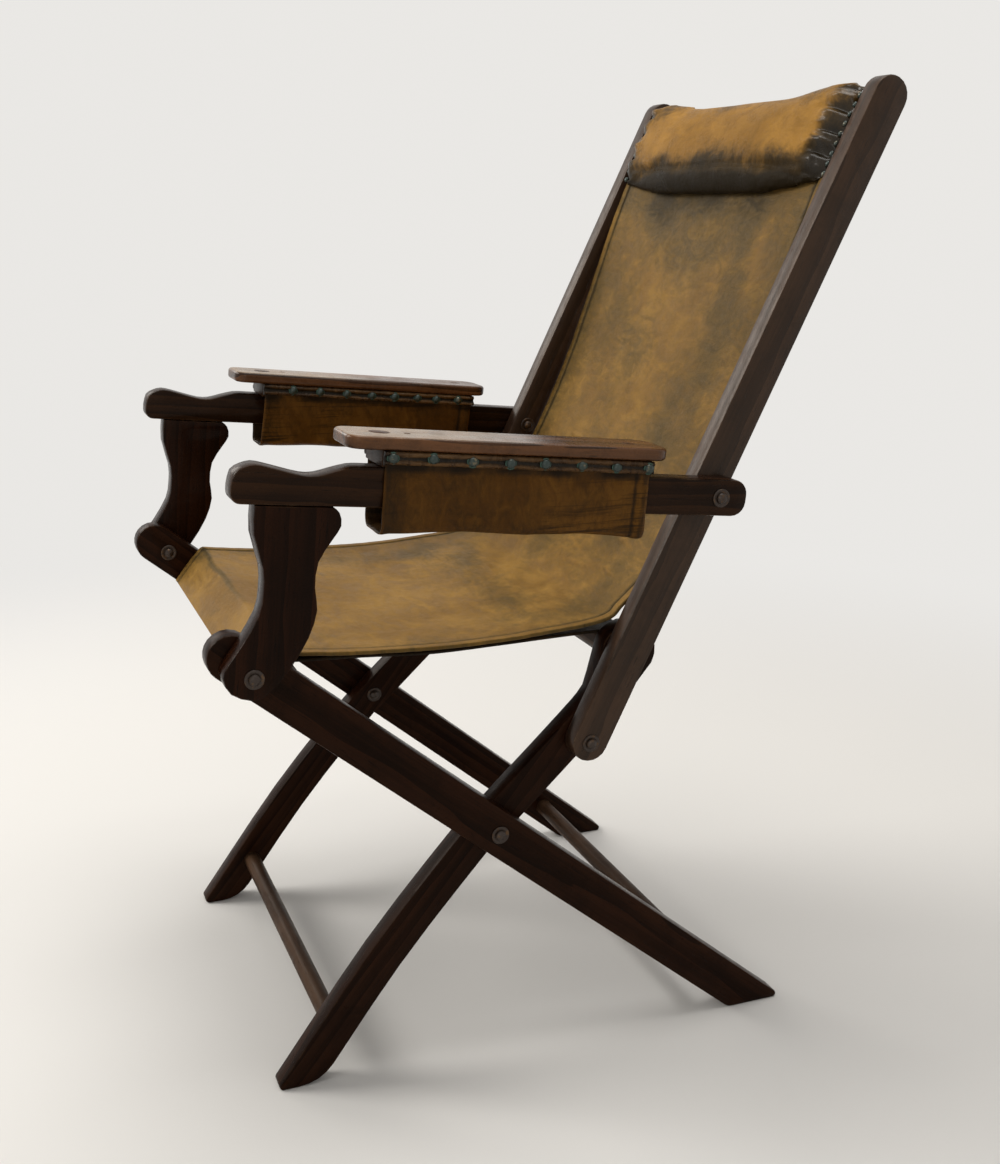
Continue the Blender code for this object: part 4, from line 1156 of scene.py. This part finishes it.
def nail_tree():
    """Geometry nodes: a domed nail at every point, turned to face its way, each a little different."""
    tree = bpy.data.node_groups.new("Dome nails", "GeometryNodeTree")
    face = tree.interface
    face.new_socket("Nail places", in_out="INPUT", socket_type="NodeSocketGeometry")
    for name, value in (("Head radius", 0.005), ("Head height", 0.0034), ("Dents", 0.00025)):
        face.new_socket(name, in_out="INPUT", socket_type="NodeSocketFloat").default_value = value
    face.new_socket("Seed", in_out="INPUT", socket_type="NodeSocketInt").default_value = 5
    face.new_socket("Finish", in_out="INPUT", socket_type="NodeSocketMaterial")
    face.new_socket("Nails", in_out="OUTPUT", socket_type="NodeSocketGeometry")
    start = tree.nodes.new("NodeGroupInput").outputs
    dome = add(tree, "GeometryNodeMeshUVSphere", None, Segments=20, Rings=12, Radius=1.0)
    radius, height = start["Head radius"], start["Head height"]
    size = add(tree, "ShaderNodeCombineXYZ", None, X=radius, Y=radius, Z=height)
    shaped = add(tree, "GeometryNodeTransform", None, Geometry=dome.outputs["Mesh"], Scale=size.outputs[0])
    place = add(tree, "GeometryNodeInputPosition").outputs[0]
    parts = add(tree, "ShaderNodeSeparateXYZ", None, Vector=place)
    floor = maths(tree, "MAXIMUM", parts.outputs["Z"], -0.0004)
    flat = add(tree, "ShaderNodeCombineXYZ", None, X=parts.outputs["X"], Y=parts.outputs["Y"], Z=floor)
    based = add(tree, "GeometryNodeSetPosition", None, Geometry=shaped.outputs[0], Position=flat.outputs[0])
    facing = add(tree, "GeometryNodeInputNamedAttribute", {"data_type": "FLOAT_VECTOR"}, Name="facing")
    turned = add(tree, "FunctionNodeAlignRotationToVector", {"axis": "Z"}, Vector=facing.outputs[0])
    spin = add(tree, "FunctionNodeRandomValue", {"data_type": "FLOAT_VECTOR"}, Seed=start["Seed"])
    spin.inputs[0].default_value = (-0.12, -0.12, 0.0)
    spin.inputs[1].default_value = (0.12, 0.12, 6.28)
    twist = add(tree, "FunctionNodeRotateRotation", {"rotation_space": "LOCAL"}, Rotation=turned.outputs[0])
    turn = add(tree, "FunctionNodeEulerToRotation", None, Euler=spin.outputs[0])
    fill(tree, twist.inputs["Rotate By"], turn.outputs[0])
    grow = add(tree, "FunctionNodeRandomValue", {"data_type": "FLOAT"}, Seed=start["Seed"])
    grow.inputs[2].default_value, grow.inputs[3].default_value = 0.93, 1.06
    placed = add(tree, "GeometryNodeInstanceOnPoints", None, Points=start["Nail places"],
                 Instance=based.outputs[0], Rotation=twist.outputs[0])
    fill(tree, placed.inputs["Scale"], grow.outputs[1])
    real = add(tree, "GeometryNodeRealizeInstances", None, Geometry=placed.outputs[0])
    grain = add(tree, "ShaderNodeTexNoise", None, Vector=place, Scale=420.0, Detail=2.0)
    centred = maths(tree, "SUBTRACT", grain.outputs["Fac"], 0.5)
    amount = times(tree, centred, start["Dents"])
    out = add(tree, "GeometryNodeInputNormal").outputs[0]
    push = tree.nodes.new("ShaderNodeVectorMath")
    push.operation = "SCALE"
    fill(tree, push.inputs[0], out)
    fill(tree, push.inputs["Scale"], amount)
    dented = add(tree, "GeometryNodeSetPosition", None, Geometry=real.outputs[0], Offset=push.outputs[0])
    painted = add(tree, "GeometryNodeSetMaterial", None, Geometry=dented.outputs[0],
                  Material=start["Finish"])
    end = tree.nodes.new("NodeGroupOutput")
    fill(tree, end.inputs[0], painted.outputs[0])
    return tree


dome_nails = nail_tree()


def nails(name, places, radius, height, seed, finish):
    """Nails at (place, facing) pairs, as one mesh."""
    mesh = bpy.data.meshes.new(name + "_places")
    mesh.from_pydata([place for place, _ in places], [], [])
    facing = mesh.attributes.new("facing", "FLOAT_VECTOR", "POINT")
    facing.data.foreach_set("vector", [number for _, way in places for number in way])
    thing = bpy.data.objects.new(name, mesh)
    bpy.context.scene.collection.objects.link(thing)
    change = thing.modifiers.new("Dome nails", "NODES")
    change.node_group = dome_nails
    inputs = {"Head radius": radius, "Head height": height, "Seed": seed, "Finish": finish}
    for label, value in inputs.items():
        change[socket_of(dome_nails, label)] = value
    bpy.context.view_layer.update()
    return evaluated_copy(thing, name, finish)


outer_x = arm_outside + fit_gap + sleeve_thick
inner_x = arm_outside - batten_width - fit_gap - sleeve_thick
nail_rows = (
    ("outer", outer_x, 1, 2, (-0.122, -0.085, -0.046, -0.011, 0.025, 0.06, 0.097, 0.131)),
    ("inner", inner_x, -1, 8, (-0.093, -0.06, -0.027, 0.003, 0.033, 0.063, 0.088, 0.115)),
)
for word, side in sides:
    body = word + "_arm"
    sleeve = arm_sleeve(word, side)
    stand_in(sleeve, "arm_sleeve_" + word, body)
    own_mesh(sleeve)
    for row_word, x, outward, seed, backs in nail_rows:
        row = "%s_%s" % (row_word, word)
        alongs = [
            (back - arm_joint.x) / arm_back.x + random.uniform(-0.0012, 0.0012) for back in backs
        ]
        strip = binding_strip("binding_" + row, side, x, outward, seed + side, alongs)
        stand_in(strip, "arm_binding_" + row, body)
        places = []
        for along in alongs:
            up = strip_up + random.uniform(-0.0008, 0.0008)
            places.append((arm_world(along, up, side * (x + outward * 0.0026)), (side * outward, 0, 0)))
        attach(nails("nails_" + row, places, 0.0047, 0.0038, seed + side, verdigris), body)
        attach(nails("nail_rims_" + row, places, 0.0056, 0.0013, seed + side, green_crust), body)
    board, plugs = arm_board(word, side)
    stand_in(board, "arm_board_" + word, body)
    for plug in plugs:
        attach(plug, body)


# Nails of the headrest and of the leather behind the head rail

def headrest_nails():
    places = []
    ahead = -toward(behind_stile)
    for _, side in sides:
        for step in range(9):
            up = cushion_low + 0.021 + 0.0104 * step
            depth = 0.0155 + 0.002 * math.sin(math.pi * step / 8)
            x = cushion_reach - 0.0036
            way = (ahead * 0.9 + Vector((-side * 0.3, 0, 0))).normalized()
            places.append((world(stile_point(up, -depth - 0.0008), side * x), way))
    return places


def head_rail_nails():
    depth = head_rail_thick / 2 + fit_gap + sling_thick + 0.0002
    place = stile_point(head_rail_up + 0.001, depth)
    return [(world(place, x), toward(behind_stile)) for x in evenly(-0.19, 0.19, 8)]


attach(nails("headrest_nails", headrest_nails(), 0.0032, 0.0024, 31, verdigris), "back")
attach(nails("head_rail_nails", head_rail_nails(), 0.0045, 0.0032, 37, verdigris), "back")


# Bolts and washers

washer_radius, washer_thick = 0.00925, 0.0015
head_radius, head_height, shaft_radius = 0.0055, 0.0035, 0.0035
bolt_hole = shaft_radius + fit_gap
dimple = 0.0004


def facing_matrix(point, x, way):
    return Matrix.Translation(world(point, x)) @ Matrix.Rotation(way * math.pi / 2, 4, "Y")


def fine_washer(node, point, x, way, body):
    """A ring with a rolled rim, its underside on the wood."""
    high = washer_thick
    profile = [
        (bolt_hole, fit_gap), (bolt_hole, high - 0.0002), (bolt_hole + 0.0003, high),
        (washer_radius - 0.0016, high - 0.0001), (washer_radius - 0.0009, high + 0.0001),
        (washer_radius - 0.0003, high - 0.0002), (washer_radius, high - 0.0007), (washer_radius, fit_gap),
    ]
    matrix = facing_matrix(point, x, way)
    rings = [
        [matrix @ Vector((radius * math.cos(angle), radius * math.sin(angle), height))
         for radius, height in profile]
        for angle in turns(48)
    ]
    thing = lofted(node.replace("washer", "ring"), rings, bronzed, None, True)
    stand_in(thing, node, body)


def fine_bolt(node, point, side, inner, outer, body, heads):
    """A riveted bolt with hammered domes where it shows."""
    middle, reach = (inner + outer) / 2, (outer - inner) / 2
    base = reach + washer_thick + fit_gap
    dome = [(head_radius * math.cos(bend), base + head_height * math.sin(bend))
            for bend in evenly(0.0, math.pi / 2, 8)]
    dome[-1] = (dimple, dome[-1][1])
    profile = []
    if "inner" in heads:
        profile += [(radius, -height) for radius, height in reversed(dome)]
        profile.append((shaft_radius, -base))
    else:
        profile += [(dimple, -reach + fit_gap), (shaft_radius, -reach + fit_gap)]
    if "outer" in heads:
        profile.append((shaft_radius, base))
        profile += dome
    else:
        profile += [(shaft_radius, reach - fit_gap), (dimple, reach - fit_gap)]
    matrix = facing_matrix(point, side * middle, side)
    thing = lathe(node.replace("bolt", "rivet"), profile, matrix, bronzed)
    for vertex in thing.data.vertices:
        local = matrix.inverted() @ vertex.co
        if abs(local.z) > base + 0.0004:
            push = 0.00028 * waver(local.x * 330, local.y * 330, local.z * 200 + point.x * 90)
            vertex.co += (vertex.co - world(point, side * middle)).normalized() * push
    stand_in(thing, node, body)


both_heads = ("inner", "outer")
for word, side in sides:
    arm = word + "_arm"
    for name, point, inner, outer, outer_body, inner_body in (
        ("arm_foot", arm_foot, outer_leg_face, arm_outside, arm, "outer_frame"),
        ("crossing", crossing, inner_leg_face, outer_leg_outside, "outer_frame", "inner_frame"),
        ("back_pivot", back_pivot, inner_leg_face, stile_outside, "back", "inner_frame"),
        ("arm_joint", arm_joint, outer_leg_face, arm_outside, arm, "back"),
    ):
        fine_washer("%s_washer_outer_%s" % (name, word), point, side * outer, side, outer_body)
        fine_washer("%s_washer_inner_%s" % (name, word), point, side * inner, -side, inner_body)
    for name, point, inner, outer, body, heads in (
        ("arm_foot_bolt_", arm_foot, outer_leg_face, arm_outside, arm, both_heads),
        ("crossing_bolt_", crossing, inner_leg_face, outer_leg_outside, "outer_frame", both_heads),
        ("back_pivot_bolt_", back_pivot, inner_leg_face, stile_outside, "back", both_heads),
        ("arm_joint_bolt_outer_", arm_joint, arm_face, arm_outside, arm, ("outer",)),
        ("arm_joint_bolt_inner_", arm_joint, outer_leg_face, stile_outside, "back", ("inner",)),
    ):
        fine_bolt(name + word, point, side, inner, outer, body, heads)


# Wooden pieces keep their CAD shapes and take their finishes

def dress(material, *names):
    for name in names:
        thing = nodes[name]
        thing.data.materials.clear()
        thing.data.materials.append(material)
        for polygon in thing.data.polygons:
            polygon.material_index = 0
            polygon.use_smooth = True
        weld = thing.modifiers.new("Joined corners", "WELD")
        weld.merge_threshold = 0.00001
        split = thing.modifiers.new("Crisp edges", "EDGE_SPLIT")
        split.split_angle = math.radians(34)


for word, _ in sides:
    dress(leg_wood, "outer_leg_" + word)
    dress(inner_wood, "inner_leg_" + word)
    dress(stile_wood, "back_stile_" + word)
    dress(arm_wood, "arm_rail_" + word, "arm_batten_" + word)
    dress(post_wood, "arm_post_" + word)
dress(cross_wood, "front_stretcher", "rear_stretcher", "rear_seat_rail", "front_seat_rail", "head_rail")


# Camera, light and stage

def camera():
    """The photograph's view: across from the chair's left, a little from the front and above."""
    heading, dip, roll = math.radians(21.903), math.radians(15.166), math.radians(0.853)
    forward = Vector((
        -math.cos(dip) * math.cos(heading), math.cos(dip) * math.sin(heading), -math.sin(dip)
    ))
    right = forward.cross(Vector((0, 0, 1))).normalized()
    up = right.cross(forward)
    level = right * math.cos(roll) + up * math.sin(roll)
    upright = up * math.cos(roll) - right * math.sin(roll)
    data = bpy.data.cameras.new("photo_camera")
    data.lens = 42.686
    data.sensor_width = 36
    data.clip_end = 60
    thing = bpy.data.objects.new("photo_camera", data)
    matrix = Matrix((level, upright, -forward)).transposed().to_4x4()
    thing.matrix_world = Matrix.Translation((1.41492, -0.54232, 0.86046)) @ matrix
    bpy.context.scene.collection.objects.link(thing)
    bpy.context.scene.camera = thing


def area_light(name, place, aim, size, power, tint):
    data = bpy.data.lights.new(name, "AREA")
    data.shape = "DISK"
    data.size = size
    data.energy = power
    data.color = tint
    thing = bpy.data.objects.new(name, data)
    bpy.context.scene.collection.objects.link(thing)
    thing.location = place
    thing.rotation_euler = (Vector(aim) - Vector(place)).to_track_quat("-Z", "Y").to_euler()


pale = (0.82, 0.805, 0.78)


def seen_directly(tree):
    """1 for what the camera sees itself, in a mirror or through glass, and 0 for the light on things."""
    path = add(tree, "ShaderNodeLightPath").outputs
    seen = plus(tree, path["Is Camera Ray"], path["Is Glossy Ray"])
    return maths(tree, "ADD", seen, path["Is Transmission Ray"], clamp=True)


def stage():
    """A pale floor that keeps its shadows near the chair and fades into a pale surround."""
    mesh = bpy.data.meshes.new("studio_floor")
    reach = 24.0
    mesh.from_pydata([(-reach, -reach, 0), (reach, -reach, 0), (reach, reach, 0), (-reach, reach, 0)],
                     [], [(0, 1, 2, 3)])
    material, tree, shader = new_material("studio_paper")
    place = add(tree, "ShaderNodeTexCoord").outputs["Object"]
    mottle = cloudy(tree, place, 1.5, 2.0)
    tint = blend_colour(tree, mottle, darker(pale, 0.9), darker(pale, 0.92))
    fill_all(tree, shader, Base_Color=tint, Roughness=0.85, Specular_IOR_Level=0.1)
    length = add(tree, "ShaderNodeVectorMath", {"operation": "LENGTH"}, Vector=place)
    far = spread(tree, length.outputs["Value"], 0.75, 2.1)
    plain = add(tree, "ShaderNodeEmission", None, Color=(*pale, 1), Strength=1.0)
    mixed = tree.nodes.new("ShaderNodeMixShader")
    fill(tree, mixed.inputs[0], times(tree, far, seen_directly(tree)))
    fill(tree, mixed.inputs[1], shader.outputs[0])
    fill(tree, mixed.inputs[2], plain.outputs[0])
    fill(tree, tree.nodes["Material Output"].inputs["Surface"], mixed.outputs[0])
    finished("studio_floor", mesh, material)
    surroundings = bpy.data.worlds.new("studio")
    bpy.context.scene.world = surroundings
    surroundings.use_nodes = True
    tree = surroundings.node_tree
    strength = spread(tree, seen_directly(tree), 0.0, 1.0, 0.4, 1.0)
    fill_all(tree, tree.nodes["Background"], Color=(*pale, 1), Strength=strength)


camera()
area_light("window_light", (-2.1, -3.5, 3.2), (0, 0, 0.5), 2.4, 128, (1.0, 0.97, 0.92))
area_light("overhead_light", (-0.3, 0.4, 4.6), (0, 0, 0.4), 3.4, 112, (1.0, 0.98, 0.95))
area_light("side_light", (-3.0, -1.3, 1.9), (0, 0, 0.6), 1.5, 18, (1.0, 0.95, 0.88))
area_light("near_fill", (2.6, -1.4, 1.5), (0, 0, 0.5), 1.6, 7, (1.0, 0.96, 0.9))
stage()
bpy.context.scene.view_settings.view_transform = "Standard"
